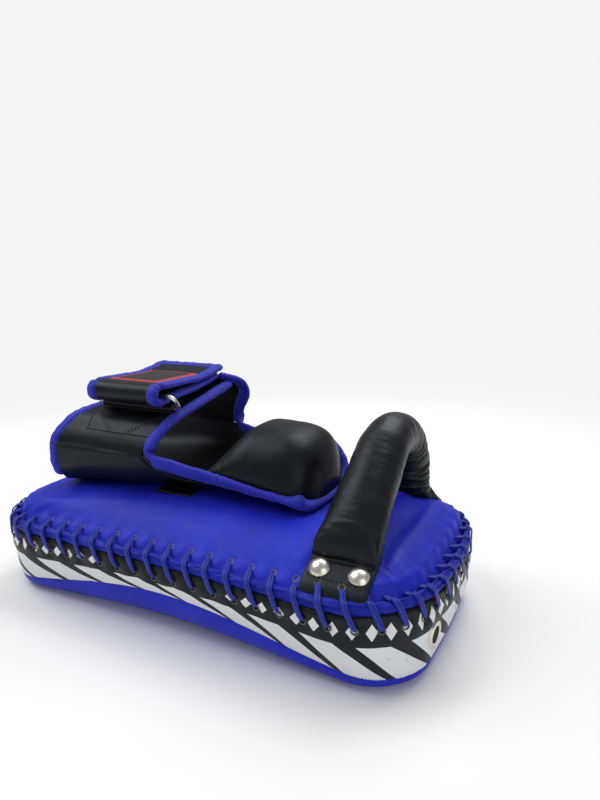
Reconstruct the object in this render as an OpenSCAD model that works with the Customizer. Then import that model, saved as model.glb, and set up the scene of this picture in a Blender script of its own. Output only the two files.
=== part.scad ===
// Thai pad: a laced leather kick pad lying on its striking face, with its handle and forearm cuff up.
// Millimetres. +X runs towards the handle, +Y away from the cuff's near wing, +Z up from the floor.

/* [Pad] */
// Length of the pad over its side band
pad_l = 390; // [370:1:430]
// Width of the pad over its side band
pad_w = 200; // [190:1:230]
// Radius of the pad's corners in plan
corner_r = 51; // [46:1:56]
// How far the two ends bow outwards
end_bow = 6; // [3:0.5:8]
// How far the long sides are drawn in at the middle
waist = 3; // [0:0.5:5]
// Height of the side band's top edge
band_top = 52; // [48:1:70]
// How far the sides lean in from the band's top to the floor
side_taper = 12; // [6:1:16]
// Height of the face seam at the two ends
seam_end = 8; // [6:1:14]
// Height of the face seam at the middle of the long sides
seam_mid = 33; // [18:1:36]
// Rise of the back above its laced edge
crown = 22; // [16:1:30]
// Thickness of the cover leather
leather = 2.4; // [1.6:0.1:3]

/* [Rim and lacing] */
// Diameter of the rolled rim
roll_d = 8; // [7:0.5:13]
// Number of stitches in the lacing
stitches = 62; // [52:1:68]
// Width of the flat lace
lace_w = 4.2; // [3:0.1:4.6]
// Thickness of the flat lace
lace_t = 1.8; // [1.2:0.1:2.2]
// Diameter of the punched lace holes
hole_d = 5.8; // [5.4:0.1:7]
// How far the band's lace holes lie below its top edge
band_hole_drop = 6; // [6:0.5:12]
// Slant of a stitch, as a share of the pitch
slant = 0.75; // [0:0.05:0.9]

/* [Handle] */
// Distance of the handle from the pad's middle
handle_x = 132; // [120:1:140]
// Diameter of the padded handle tube
tube_d = 34; // [28:1:38]
// Bend radius of the handle's top
bend_r = 43; // [40:1:46]
// Slope of the handle's long leg
leg_slope = 37; // [37:1:41]
// Width of the handle's riveted feet
foot_w = 46; // [42:1:52]
// Thickness of a foot
foot_t = 3.4; // [2.4:0.2:4.4]
// Distance between the two rivets of a foot
rivet_pitch = 27; // [24:1:32]
// Diameter of a rivet's domed cap
cap_d = 15; // [11:0.5:16]
// Height of a rivet's domed cap
cap_h = 4.2; // [3:0.2:5.4]
// Diameter of a rivet's shank
shank_d = 4.4; // [3.6:0.2:5]

/* [Vent] */
// Outer diameter of the vent eyelet
vent_d = 20; // [15:0.5:22]
// Bore of the vent eyelet
vent_bore = 9; // [6:0.5:11]
// Distance of the vent from the end's middle, towards the near side
vent_off = 46; // [0:1:48]
// Height of the vent
vent_z = 26; // [22:0.5:32]

/* [Cuff] */
// Thickness of the cuff's base
base_t = 4; // [3:0.2:5]
// Thickness of a cuff wing
wing_t = 3; // [2.4:0.2:3.4]
// Diameter of the bound edges
bead_d = 7; // [6:0.2:7.4]
// Height of the wrist pad above the cuff's base
wrist_h = 42; // [30:1:46]
// Width of the closing strap
strap_w = 68; // [56:1:70]
// Thickness of the closing strap
strap_t = 3.5; // [2.6:0.1:3.8]
// Radius of the strap's turn at its middle
turn_r = 6.75; // [6.6:0.05:7.5]
// Wire diameter of the strap ring
wire_d = 3.6; // [2.8:0.1:3.8]
// Reach of the strap ring between its two bars
ring_reach = 14; // [13:0.5:14.5]

/* [Hidden] */

// Clearances and allowances
fit = 0.3;
groove_gap = 0.8;
skin_gap = 0.6;

// Colours
blue = "#1b2fc4";
black = "#1c1d21";
nickel = "#c9c6bd";
foam = "#e8dfc6";

// Heights that follow from the band's top
edge_top = band_top + fit + leather;
roll_u = roll_d / 2 - 0.5;
groove_r = roll_d / 2 + groove_gap;
roll_z = edge_top + groove_r;
slope_run = 8.8;
slope_rise = 6.7;
hole_back = 3.3;
back_u = roll_u + groove_r + slope_run;
back_z = roll_z + slope_rise;
crown_pow = 2.5;
leg_lift = 6.2;
back_top = back_z + crown;

// Small helpers
function lerp(a, b, t) = a + (b - a) * t;
function unit(v) = v / norm(v);
function flatten(l) = [for (a = l) for (b = a) b];

// A smooth curve through points, with n steps to a span
function smooth_at(p, i, t) =
    let (a = p[max(i - 1, 0)], b = p[i], c = p[i + 1], d = p[min(i + 2, len(p) - 1)])
    0.5 * (2 * b + (c - a) * t + (2 * a - 5 * b + 4 * c - d) * t * t + (3 * b - a - 3 * c + d) * t * t * t);
function smooth(p, n) = concat(
    [for (i = [0 : len(p) - 2]) for (k = [0 : n - 1]) smooth_at(p, i, k / n)],
    [p[len(p) - 1]]
);

// A closed skin over rings of equal length. Open skins end in a fan round a pole.
module skin(rings, closed = false) {
    n = len(rings[0]);
    m = len(rings);
    pole_a = [for (k = [0 : 2]) [for (p = rings[0]) p[k]] * [for (p = rings[0]) 1 / n]];
    pole_b = [for (k = [0 : 2]) [for (p = rings[m - 1]) p[k]] * [for (p = rings[m - 1]) 1 / n]];
    last = closed ? m - 1 : m - 2;
    walls = [
        for (i = [0 : last]) for (j = [0 : n - 1])
        let (
            a = i * n + j, b = i * n + (j + 1) % n,
            k = (i + 1) % m, c = k * n + (j + 1) % n, d = k * n + j
        )
        each [[a, c, b], [a, d, c]]
    ];
    fans = closed ? [] : [
        for (j = [0 : n - 1])
        each [[m * n, j, (j + 1) % n], [m * n + 1, (m - 1) * n + (j + 1) % n, (m - 1) * n + j]]
    ];
    polyhedron(concat(flatten(rings), closed ? [] : [pole_a, pole_b]), concat(walls, fans));
}

// A profile carried along a path. Each ref is a direction that the profile's second axis keeps to.
function path_dir(p, i, closed) =
    let (n = len(p))
    unit(closed ? p[(i + 1) % n] - p[(i + n - 1) % n] : p[min(i + 1, n - 1)] - p[max(i - 1, 0)]);
function sweep_rings(path, refs, profile, closed) = [
    for (i = [0 : len(path) - 1])
    let (t = path_dir(path, i, closed), b = unit(cross(t, refs[i])), n = cross(b, t))
    [for (c = profile) path[i] + c[0] * b + c[1] * n]
];
function round_profile(r, sides) = [
    for (k = [0 : sides - 1])
    let (a = 360 * k / sides)
    r * [cos(a), -sin(a)]
];
module sweep(path, refs, profile, closed = false) {
    skin(sweep_rings(path, refs, profile, closed), closed);
}

// A sheet between two grids of points. Its top faces along the cross product of its rows and columns.
module sheet(top, under) {
    rows = len(top);
    cols = len(top[0]);
    low = rows * cols;
    function quad(a, b, c, d) = [[a, c, b], [a, d, c]];
    polyhedron(
        concat(flatten(top), flatten(under)),
        concat(
            [
                for (i = [0 : rows - 2]) for (j = [0 : cols - 2])
                let (a = i * cols + j, b = a + cols)
                each concat(quad(a, b, b + 1, a + 1), quad(low + a, low + a + 1, low + b + 1, low + b))
            ],
            [
                for (j = [0 : cols - 2])
                let (a = j, b = (rows - 1) * cols + j)
                each concat(quad(a, a + 1, low + a + 1, low + a), quad(b, low + b, low + b + 1, b + 1))
            ],
            [
                for (i = [0 : rows - 2])
                let (a = i * cols, b = i * cols + cols - 1)
                each concat(
                    quad(a, low + a, low + a + cols, a + cols),
                    quad(b, b + cols, low + b + cols, low + b)
                )
            ]
        )
    );
}

// Outline of the pad. A place on it is q, from 0 to 1 round the rim from the middle of the handle end.
half_l = pad_l / 2 - end_bow;
half_w = pad_w / 2;
end_run = half_w - corner_r;
arc_run = PI * corner_r / 2;
side_run = half_l - corner_r;
quarter_run = end_run + arc_run + side_run;
function quarter(s) =
    s < end_run ? [half_l, s] :
    s < end_run + arc_run ?
        let (g = (s - end_run) / corner_r * 180 / PI)
        [half_l - corner_r + corner_r * cos(g), half_w - corner_r + corner_r * sin(g)] :
        [quarter_run - s, half_w];
function swell(p) = [
    p.x * (1 + end_bow / half_l * (1 - pow(p.y / half_w, 2))),
    p.y * (1 - waist / half_w * pow(cos(90 * p.x / half_l), 2))
];
function rim(q) =
    let (w = 4 * (q - floor(q)), k = floor(w), e = w - k, p = quarter((k % 2 == 0 ? e : 1 - e) * quarter_run))
    swell([k == 0 || k == 3 ? p.x : -p.x, k < 2 ? p.y : -p.y]);
function rim_dir(q) = unit(rim(q + 0.004) - rim(q - 0.004));
function rim_in(q) = let (d = rim_dir(q)) [-d.y, d.x];
function at(q, u, z) = let (p = rim(q) + u * rim_in(q)) [p.x, p.y, z];

// Stations round the rim, closer together in the corners
end_steps = 3;
arc_steps = 6;
side_steps = 7;
quarter_steps = end_steps + arc_steps + side_steps;
function quarter_q(i) = (
    i <= end_steps ? end_run * i / end_steps :
    i <= end_steps + arc_steps ? end_run + arc_run * (i - end_steps) / arc_steps :
    end_run + arc_run + side_run * (i - end_steps - arc_steps) / side_steps
) / quarter_run;
stations = [
    for (k = [0 : 3]) for (i = [0 : quarter_steps - 1])
    (k + (k % 2 == 0 ? quarter_q(i) : 1 - quarter_q(quarter_steps - i))) / 4
];

// Side wall: how far in it stands at a height, and where the face seam runs
function side_u(z) = side_taper * pow(1 - z / band_top, 1.2);
function seam_z(q) = lerp(seam_end, seam_mid, pow(cos(90 * rim(q).x / (pad_l / 2)), 2));

// The face turns under from the seam to the floor
function floor_u(q) = let (z = seam_z(q)) side_u(z) + z + 2;
function turn_u(q, a) = let (z = seam_z(q), u = side_u(z)) u + (floor_u(q) - u) * (1 - cos(a));
function turn_z(q, a) = (seam_z(q) - fit / 2) * (1 - sin(a));
turn_angles = [0, 28, 58];

// The back: a groove under the rolled rim, then a crowned field of scaled rings
groove_angles = [-90, -52, -15];
groove = concat(
    [[0.6, edge_top]],
    [for (a = groove_angles) [roll_u + groove_r * cos(a), roll_z + groove_r * sin(a)]]
);
function crown_z(s) = back_z + crown * (1 - pow(s, crown_pow));
function crowned(q, s, lift) = let (p = at(q, back_u, 0)) [p.x * s, p.y * s, crown_z(s) + lift];
outer_scales = [1, 0.9, 0.8, 0.68, 0.54, 0.37, 0.18];
inner_scales = [1, 0.9, 0.72, 0.5, 0.25];

// Which of the back's scaled rings passes through a point, and its height there
field_x = pad_l / 2 - back_u;
field_y = half_w - back_u;
field_r = corner_r - back_u;
function ring_scale(x, y) =
    let (
        cx = field_x - field_r, cy = field_y - field_r, d2 = x * x + y * y,
        p = abs(x) * cx + abs(y) * cy,
        w = (p + sqrt(max(0, p * p - d2 * (cx * cx + cy * cy - field_r * field_r)))) / max(d2, 1e-6),
        in_corner = abs(x) * w > cx && abs(y) * w > cy
    )
    in_corner ? 1 / w : max(abs(x) / field_x, abs(y) / field_y);
function back_at(x, y) = crown_z(min(ring_scale(x, y), 1.1));
function back_normal(x, y) =
    unit([back_at(x - 3, y) - back_at(x + 3, y), back_at(x, y - 3) - back_at(x, y + 3), 6]);

// A layer that follows the back's own facets, over some of its stations and rings
function back_to_front(l) = [for (i = [len(l) - 1 : -1 : 0]) l[i]];
rim_edge = groove[len(groove) - 1] + [0.9, 0.6];
module back_patch(qs, scales, lift, depth, to_rim = true) {
    cols = back_to_front(qs);
    function rows(z) = concat(
        to_rim ? [[for (q = cols) at(q, rim_edge[0], rim_edge[1] + z)]] : [],
        [for (s = scales) [for (q = cols) crowned(q, s, z)]]
    );
    sheet(rows(lift + depth), rows(lift));
}
// Stations round the handle's end of the pad, on one side
function handle_stations(side) = [for (q = stations) if (rim(q).x > handle_x - 50 && side * rim(q).y > 1) q];

// Lacing: holes in the back and in the band, and the route of the lace through them
hole_u = back_u - hole_back;
hole_slope = (back_z - groove[3][1]) / (back_u - groove[3][0]);
hole_z = back_z - (back_u - hole_u) * hole_slope;
hole_out = unit([-hole_slope, 1]);
band_hole_z = band_top - band_hole_drop;
band_hole_u = side_u(band_hole_z);
lace_r = roll_d / 2 + lace_t / 2 + skin_gap + 0.1;
lace_angles = [48, 82, 116, 150, 184];
function stitch_q(i) = (i + 0.5) / stitches;
function on_foot(q) =
    let (p = at(q, hole_u, 0))
    abs(p.x - handle_x) < foot_w / 2 + lace_w && abs(p.y) > half_w / 2;
function back_hole(q, out) = at(q, hole_u + out * hole_out[0], hole_z + out * hole_out[1]);
function stitch(i) =
    let (
        q = stitch_q(i), band_q = stitch_q(i + slant), next_q = stitch_q(i + 1),
        rise = on_foot(q) ? foot_t + fit : 0
    )
    concat(
        [back_hole(q, -leather - 1), back_hole(q, rise + lace_t)],
        [
            for (k = [rise > 0 ? 1 : 0 : len(lace_angles) - 1])
            let (a = lace_angles[k])
            at(stitch_q(i + slant * (k + 0.5) / 6), roll_u + lace_r * cos(a), roll_z + lace_r * sin(a))
        ],
        [
            at(band_q, band_hole_u - lace_t, band_hole_z),
            at(band_q, band_hole_u + leather + lace_t, band_hole_z),
            lerp(at(band_q, band_hole_u + 5, band_hole_z - 1), back_hole(next_q, -leather - 4), 0.5)
        ]
    );
lace_path = [for (i = [0 : stitches - 1]) each stitch(i)];
lace_refs = [
    for (i = [0 : stitches - 1])
    let (d = rim_dir(stitch_q(i + slant / 2)))
    for (p = stitch(i)) [d.x, d.y, 0]
];
flat_lace = [[-lace_t, -lace_w], [-lace_t, lace_w], [lace_t, lace_w], [lace_t, -lace_w]] / 2;
lace_gap = min([
    for (i = [0 : stitches - 2]) for (a = stitch(i)) for (k = [0 : 5])
    norm(a - stitch(i + 1)[k])
]) - lace_w;
echo(least_gap_between_lace_turns = lace_gap);

module hole_at(p, dir, d, length) {
    turn = atan2(dir.y, dir.x);
    tilt = acos(unit(dir).z);
    translate(p)
        rotate([0, tilt, turn])
            cylinder(d = d, h = length, center = true, $fn = 6);
}
module back_holes() {
    for (i = [0 : stitches - 1]) {
        q = stitch_q(i);
        hole_at(back_hole(q, 0), back_hole(q, 1) - back_hole(q, 0), hole_d, 18);
    }
}
module band_holes() {
    for (i = [0 : stitches - 1]) {
        q = stitch_q(i + slant);
        inward = rim_in(q);
        hole_at(at(q, band_hole_u + leather / 2, band_hole_z), [inward.x, inward.y, 0], hole_d, leather * 4);
    }
}

// Vent: its place on the band and the way it faces
vent_q = 1 - vent_off / quarter_run / 4;
vent_face = side_u(vent_z);
vent_lean = atan2(side_u(vent_z - 4) - side_u(vent_z + 4), 8);
vent_wall = leather + 1.5;
neck_r = vent_bore / 2 + 1.5;
module at_vent(out) {
    inward = rim_in(vent_q);
    translate(at(vent_q, vent_face, vent_z))
        rotate([0, 0, atan2(-inward.y, -inward.x)])
            rotate([0, 90 + vent_lean, 0])
                translate([0, 0, out])
                    children();
}

// Handle: its arch in the plane of its two feet, and the line that it sways about
rivet_y = half_w - 24;
foot_in = half_w - 42;
collar_y = half_w - 33;
collar_in = half_w - 56;
far_y = half_w - 36;
leg_y = half_w - 28;
leg_start = [-leg_y, back_at(handle_x, leg_y) + leg_lift];
leg_dir = [cos(leg_slope), sin(leg_slope)];
bend_y = far_y - bend_r;
bend_z = leg_start[1] + ((bend_y - leg_start[0]) * leg_dir[1] - bend_r) / leg_dir[0];
bend_steps = 9;
arch_line = concat(
    [leg_start],
    [
        for (k = [0 : bend_steps])
        let (a = (90 + leg_slope) * (1 - k / bend_steps))
        [bend_y + bend_r * cos(a), bend_z + bend_r * sin(a)]
    ],
    [[far_y, back_z]]
);
knuckle_r = tube_d / 2 + 0.4;
sway_z = back_top + knuckle_r - 2.4;
module arch(d) {
    sweep(
        [for (p = arch_line) [handle_x, p[0], p[1]]], [for (p = arch_line) [1, 0, 0]],
        round_profile(d / 2, 20)
    );
}
// The space that the swaying part may fill, grown by a clearance
module sway_room(clear) {
    translate([handle_x, 0, sway_z])
        rotate([90, 0, 0])
            cylinder(r = knuckle_r + clear, h = 4 * half_w, center = true, $fn = 96);
}
module swaying() {
    intersection() {
        children();
        union() {
            translate([handle_x - half_w, -collar_y, sway_z])
                cube([2 * half_w, 2 * half_w, 2 * half_w]);
            intersection() {
                sway_room(0);
                translate([handle_x - half_w, -collar_y, 0])
                    cube([2 * half_w, 2 * half_w, 2 * sway_z]);
            }
        }
    }
}
// Plan of a foot on one side of the pad
module foot_plan(side) {
    translate([handle_x - foot_w / 2, side > 0 ? foot_in : -half_w])
        square([foot_w, half_w - foot_in]);
}
rivet_places = [for (side = [-1, 1]) for (k = [-0.5, 0.5]) [handle_x + k * rivet_pitch, side * rivet_y]];
function rivet_seat(p) = [p.x, p.y, back_at(p.x, p.y)];
module at_rivet(p) {
    dir = back_normal(p.x, p.y);
    translate(rivet_seat(p))
        rotate([0, acos(dir.z), atan2(dir.y, dir.x)])
            children();
}
module rivet_holes() {
    for (p = rivet_places)
        at_rivet(p)
            cylinder(d = shank_d + 2 * fit, h = 40, center = true, $fn = 24);
}
backing_t = 2.2;
under_skin = leather + skin_gap + backing_t;

// Cuff: heights are above the back's spine, and lengths run along the pad
cuff_z = back_top + fit;
cuff_y = 6;
cuff_left = -150;
cuff_right = 91;
near_notch = -50;
far_notch = -38;
near_edge = [[cuff_left, 28.5], [near_notch, 28.5], [0, 20.5], [40, 14.5], [78, 8.5], [cuff_right, 4]];
far_edge = [[cuff_left, 31.5], [far_notch, 31.5], [-10, 29], [40, 33], [62, 31], [78, 22], [cuff_right, 6]];
near_reach = [[cuff_left, 56], [near_notch, 54], [0, 48], [60, 46], [84, 45], [cuff_right, 42]];
far_reach = [[cuff_left, 61], [far_notch, 58], [0, 51], [50, 50], [78, 43], [cuff_right, 30]];
boxiness = [[cuff_left, 2.4], [-60, 2.1], [10, 1.25], [cuff_right, 1.15]];
end_lift = (bead_d - base_t) / 2 + 0.6;
function spine_z(x) = x < 0 ? back_at(x, 0) + fit + end_lift * pow(x / cuff_left, 6) : cuff_z;
function base_at(x, v) =
    let (
        w = abs(v), e = lookup(x, boxiness), out = 1 - pow(1 - w, e), low = spine_z(x) + base_t / 2,
        top = cuff_z + lookup(x, v < 0 ? near_edge : far_edge)
    )
    [
        x - 7 * pow(max(0, -v), 6) * max(0, x / cuff_right),
        cuff_y + (v < 0 ? -lookup(x, near_reach) : lookup(x, far_reach)) * out,
        low + (top - low) * pow(w, 2.3)
    ];
function base_normal(x, v) =
    let (
        dx = base_at(x + 1, v) - base_at(x - 1, v),
        dv = base_at(x, min(v + 0.02, 1)) - base_at(x, max(v - 0.02, -1))
    )
    unit(cross(dx, dv));
base_xs = [cuff_left, -125, -95, -68, near_notch, far_notch, -10, 15, 38, 58, 70, 78, 84, 88, cuff_right];
base_vs = [-1, -0.92, -0.82, -0.67, -0.5, -0.33, -0.16, 0, 0.16, 0.33, 0.5, 0.67, 0.82, 0.92, 1];
function base_grid(off) = [for (x = base_xs) [for (v = base_vs) base_at(x, v) + off * base_normal(x, v)]];

// Wrist pad: a crowned cushion in the right end of the cuff
wrist_left = -14;
wrist_right = 75;
wrist_peak = 0.64;
wrist_us = [for (k = [0 : 9]) k / 9];
wrist_vs = [for (k = [-5 : 5]) k / 5];
function wrist_rise(u, v) =
    let (
        a = u < wrist_peak ? pow((wrist_peak - u) / wrist_peak, 2) :
            pow((u - wrist_peak) / (1 - wrist_peak), 3.4)
    )
    pow(max(0, 1 - a), 0.62) * pow(max(0, 1 - pow(abs(v), 2.6)), 0.6);
function wrist_at(u, v, inset, lift) =
    let (
        x = lerp(wrist_left + inset, wrist_right - inset, u), vv = v * (0.85 - inset / 50),
        p = base_at(x, vv), n = base_normal(x, vv)
    )
    p + n * (base_t / 2 + skin_gap + fit + lift);
function wrist_grid(inset, low, high, edge) = [
    for (u = wrist_us) [
        for (v = wrist_vs)
        wrist_at(u, v, inset, low) + [0, 0, high ? edge + (wrist_h - 2 * inset) * wrist_rise(u, v) : 0]
    ]
];

// Wings and strap: sections across the pad, as [y, height]
near_curve = smooth(
    [[-48.6, 29.4], [-46, 35.5], [-40, 42.5], [-28, 51.5], [-5, 57.5], [25, 64], [56, 71.5]], 3
);
far_curve = smooth([[65, 32.4], [69, 43], [70.5, 57], [66.5, 70], [55, 77]], 3);
lower_curve = smooth([[53.2, 76.9], [25, 71.5], [-5, 69], [-28, 66]], 4);
turn_y = -28;
turn_low = 66;
turn_curve = [for (a = [20 : 20 : 180]) [turn_y - turn_r * sin(a), turn_low + turn_r * (1 - cos(a))]];
flap_low = turn_low + 2 * turn_r;
flap_curve = smooth(
    [
        [turn_y + skin_gap, flap_low], [-5, flap_low], [25, flap_low + 0.2],
        [42, flap_low + 2.6], [58, flap_low + 5.4]
    ], 4
);
strap_x = -82;
strap_edges = [strap_x - strap_w / 2, strap_x + strap_w / 2];

function curve_dir(c, i) = unit(c[min(i + 1, len(c) - 1)] - c[max(i - 1, 0)]);
function curve_normal(c, i) = let (d = curve_dir(c, i)) [-d[1], d[0]];
function curve_point(c, i, x, off) = let (p = c[i] + off * curve_normal(c, i)) [x, p[0], cuff_z + p[1]];
// A panel along a section from step a to step b, between two edges that each run from a start to an end
function edge_x(c, i, e) = lookup(i / (len(c) - 1), e);
function panel_side(c, a, b, left, right, off) = [
    for (i = [a : b])
    [curve_point(c, i, edge_x(c, i, right), off), curve_point(c, i, edge_x(c, i, left), off)]
];
module panel(c, left, right, low, high, a = 0, b = -1) {
    last = b < 0 ? len(c) - 1 : b;
    sheet(panel_side(c, a, last, left, right, high), panel_side(c, a, last, left, right, low));
}
// The bead of a bound edge lies in the panel's plane, just outside its edge, and is mitred at corners
bead_off = bead_d / 2 + fit;
function mitre(p, i) =
    i == 0 || i == len(p) - 1 ? 1 :
    let (a = unit(p[i] - p[i - 1]), b = unit(p[i + 1] - p[i]))
    1 / sqrt(max(0.3, (1 + a * b) / 2));
function beside(edge, normals, off) = [
    for (i = [0 : len(edge) - 1])
    edge[i] + off * mitre(edge, i) * unit(cross(path_dir(edge, i, false), normals[i]))
];
module bead(edge, normals, off = bead_off) {
    sweep(beside(edge, normals, off), normals, round_profile(bead_d / 2, 6));
}
function edge_line(c, e, from, to) = [for (i = [from : to]) curve_point(c, i, edge_x(c, i, e), 0)];
function edge_normals(c, from, to) = [for (i = [from : to]) let (n = curve_normal(c, i)) [0, n[0], n[1]]];
// Both side edges of a panel, but for its first step and a number of its last ones
module side_beads(c, left, right, short) {
    to = len(c) - 1 - short;
    bead(back_to_front(edge_line(c, left, 1, to)), back_to_front(edge_normals(c, 1, to)));
    bead(edge_line(c, right, 1, to), edge_normals(c, 1, to));
}

// Side edges of the wings, as [share of the section, x]
near_left = [[0, -147], [0.33, -141], [0.5, -134], [0.67, -122], [0.8, -113], [1, -111]];
near_right = [[0, near_notch - 2], [1, -40]];
far_left = [[0, -150], [0.4, -140], [1, strap_edges[0]]];
far_right = [[0, far_notch - 1], [0.3, -40], [0.55, -32], [0.78, -32], [1, strap_edges[1]]];

// Strap ring: its lower bar turns in the tab's eye, its upper bar lies between the strap's two layers
bar_step = 11;
tab_t = 1.6;
eye_r = wire_d / 2 + fit + tab_t;
bar_place = curve_point(near_curve, bar_step, strap_x, wing_t / 2 + fit + eye_r);
ring_lean = 124;
ring_half = strap_w / 2 + bead_d + fit + 0.7 + wire_d / 2;
ring_corner = 5;
tab_w = 50;
patch_t = 1.2;
patch_in = 6;

module face_panel() {
    color(blue)
        skin(concat(
            [[for (q = stations) at(q, floor_u(q), 0)]],
            [for (i = [len(turn_angles) - 1 : -1 : 0]) [
                for (q = stations) at(q, turn_u(q, turn_angles[i]), turn_z(q, turn_angles[i]))
            ]],
            [for (a = turn_angles) [
                for (q = stations)
                at(q, turn_u(q, a) + leather, max(leather + 0.6, turn_z(q, a) + leather * sin(a)))
            ]],
            [[for (q = stations) at(q, floor_u(q) + 1, leather)]]
        ));
}

module side_band() {
    function wall(q, t, in) = let (z = lerp(seam_z(q) + fit / 2, band_top, t)) at(q, side_u(z) + in, z);
    color(black)
        difference() {
            skin([
                for (p = [[0, 0], [0.5, 0], [1, 0], [1, leather], [0.5, leather], [0, leather]])
                [for (q = stations) wall(q, p[0], p[1])]
            ], true);
            band_holes();
            at_vent(0)
                cylinder(d = 2 * (neck_r + fit), h = 20, center = true, $fn = 48);
        }
}

module back_panel() {
    color(blue)
        difference() {
            skin(concat(
                [for (s = back_to_front(inner_scales)) [for (q = stations) crowned(q, s, -leather)]],
                [for (g = back_to_front(groove)) [for (q = stations) at(q, g[0], g[1] - leather)]],
                [for (g = groove) [for (q = stations) at(q, g[0], g[1])]],
                [for (s = outer_scales) [for (q = stations) crowned(q, s, 0)]]
            ));
            back_holes();
            rivet_holes();
        }
}

module rim_roll() {
    color(blue)
        sweep(
            [for (q = stations) at(q, roll_u, roll_z)], [for (q = stations) [0, 0, 1]],
            round_profile(roll_d / 2, 8), true
        );
}

module rim_lace() {
    color(blue)
        sweep(lace_path, lace_refs, flat_lace);
}

// Three foam slabs fill the pad, clear of the lacing
foam_in = 22;
split_low = 20;
split_high = 40;
module foam_face() {
    color(foam)
        skin([
            [for (q = stations) at(q, max(floor_u(q) + 3, foam_in), leather + fit)],
            [for (q = stations) at(q, max(turn_u(q, 40) + leather + 3, foam_in), split_low - fit)]
        ]);
}
module foam_middle() {
    color(foam)
        skin([
            [for (q = stations) at(q, foam_in, split_low)],
            [for (q = stations) at(q, foam_in, split_high - fit)]
        ]);
}
module foam_back() {
    top_scales = [for (i = [1 : len(inner_scales) - 1]) inner_scales[i]];
    color(foam)
        difference() {
            skin(concat(
                [[for (q = stations) let (p = crowned(q, top_scales[0], 0)) [p.x, p.y, split_high]]],
                [for (s = top_scales) [for (q = stations) crowned(q, s, -leather - skin_gap)]]
            ));
            for (side = [-1, 1])
                translate([handle_x - foot_w / 2, side > 0 ? rivet_y - 11 : -half_w, split_high + 4])
                    cube([foot_w, half_w - rivet_y + 11, back_top]);
        }
}

module vent_eyelet() {
    color(nickel)
        at_vent(0)
            rotate_extrude($fn = 64)
                polygon([
                    [vent_bore / 2, -vent_wall - 1], [neck_r, -vent_wall - 1], [neck_r, fit + 0.3],
                    [vent_d / 2, fit + 0.3], [vent_d / 2, fit + 0.9], [vent_d / 2 - 2, fit + 2],
                    [neck_r, fit + 2], [vent_bore / 2, fit + 1]
                ]);
}
module vent_washer() {
    color(nickel)
        at_vent(-leather - fit - 1.9)
            difference() {
                cylinder(d = vent_d - 3, h = 1, $fn = 64);
                translate([0, 0, -1])
                    cylinder(d = 2 * (neck_r + fit), h = 3, $fn = 64);
            }
}

// Lace holes in a foot. One at the foot's side edge is open towards the rim, so no corner is cut loose.
module foot_holes() {
    for (i = [0 : stitches - 1]) {
        q = stitch_q(i);
        side_gap = abs(abs(back_hole(q, 0).x - handle_x) - foot_w / 2);
        dir = back_hole(q, 1) - back_hole(q, 0);
        hull() {
            hole_at(back_hole(q, 0), dir, hole_d, 18);
            if (side_gap < hole_d)
                hole_at(back_hole(q, 0) + at(q, 0, 0) - at(q, hole_u, 0), dir, hole_d, 18);
        }
    }
}
module handle_foot(side) {
    color(black)
        difference() {
            intersection() {
                back_patch(handle_stations(side), [1, 0.9, 0.8, 0.68, 0.54], fit, foot_t);
                linear_extrude(2 * back_top)
                    foot_plan(side);
            }
            foot_holes();
            rivet_holes();
        }
}
module handle_foot_near() { handle_foot(-1); }
module handle_foot_far() { handle_foot(1); }

collar_w = foot_w / 2 - 1;
shoulder_z = back_at(handle_x, collar_y) + 3;
module handle_collar(side) {
    color(black)
        difference() {
            intersection() {
                back_patch(handle_stations(side), [1, 0.9, 0.8, 0.68, 0.54, 0.37], foot_t + 2 * fit, 60);
                translate([handle_x, 0, 0])
                    rotate([90, 0, 0])
                        linear_extrude(height = 2 * half_w, center = true)
                            polygon([
                                [-collar_w, 0], [collar_w, 0], [collar_w, shoulder_z],
                                [knuckle_r + 3, sway_z - 5], [-knuckle_r - 3, sway_z - 5],
                                [-collar_w, shoulder_z]
                            ]);
                translate([handle_x - half_w, side > 0 ? collar_in : -collar_y, 0])
                    cube([2 * half_w, collar_y - collar_in, 2 * back_top]);
            }
            sway_room(fit + 0.1);
        }
}
module handle_collar_near() { handle_collar(-1); }
module handle_collar_far() { handle_collar(1); }

module handle_rivets() {
    seat = foot_t + 2 * fit + 0.2;
    color(nickel)
        for (p = rivet_places)
            at_rivet(p) {
                translate([0, 0, -under_skin - 2.8])
                    cylinder(d = shank_d, h = under_skin + 2.8 + seat + 0.5, $fn = 32);
                translate([0, 0, seat])
                    intersection() {
                        translate([0, 0, cap_h - (cap_d * cap_d / 4 + cap_h * cap_h) / (2 * cap_h)])
                            sphere(r = (cap_d * cap_d / 4 + cap_h * cap_h) / (2 * cap_h), $fn = 64);
                        cylinder(d = cap_d, h = cap_h, $fn = 64);
                    }
            }
}
module rivet_washers() {
    color(nickel)
        for (p = rivet_places)
            at_rivet(p)
                translate([0, 0, -under_skin - fit - 1.9])
                    difference() {
                        cylinder(d = cap_d - 5.5, h = 1, $fn = 48);
                        translate([0, 0, -1])
                            cylinder(d = shank_d + 2 * fit, h = 3, $fn = 48);
                    }
}

module backing(side) {
    color("dimgray")
        difference() {
            intersection() {
                back_patch(handle_stations(side), [1, 0.9, 0.8, 0.68], -under_skin, backing_t);
                translate([handle_x - rivet_pitch / 2 - 5, side > 0 ? rivet_y - 9 : -rivet_y - 3.4, 0])
                    cube([rivet_pitch + 10, 12.4, 2 * back_top]);
            }
            rivet_holes();
        }
}
module backing_near() { backing(-1); }
module backing_far() { backing(1); }

core_d = tube_d - 2 * leather - 2 * fit;
module handle_cover() {
    color(black)
        swaying()
            difference() {
                arch(tube_d);
                arch(tube_d - 2 * leather);
            }
}
module handle_core() {
    color(foam)
        swaying()
            arch(core_d);
}

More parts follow.
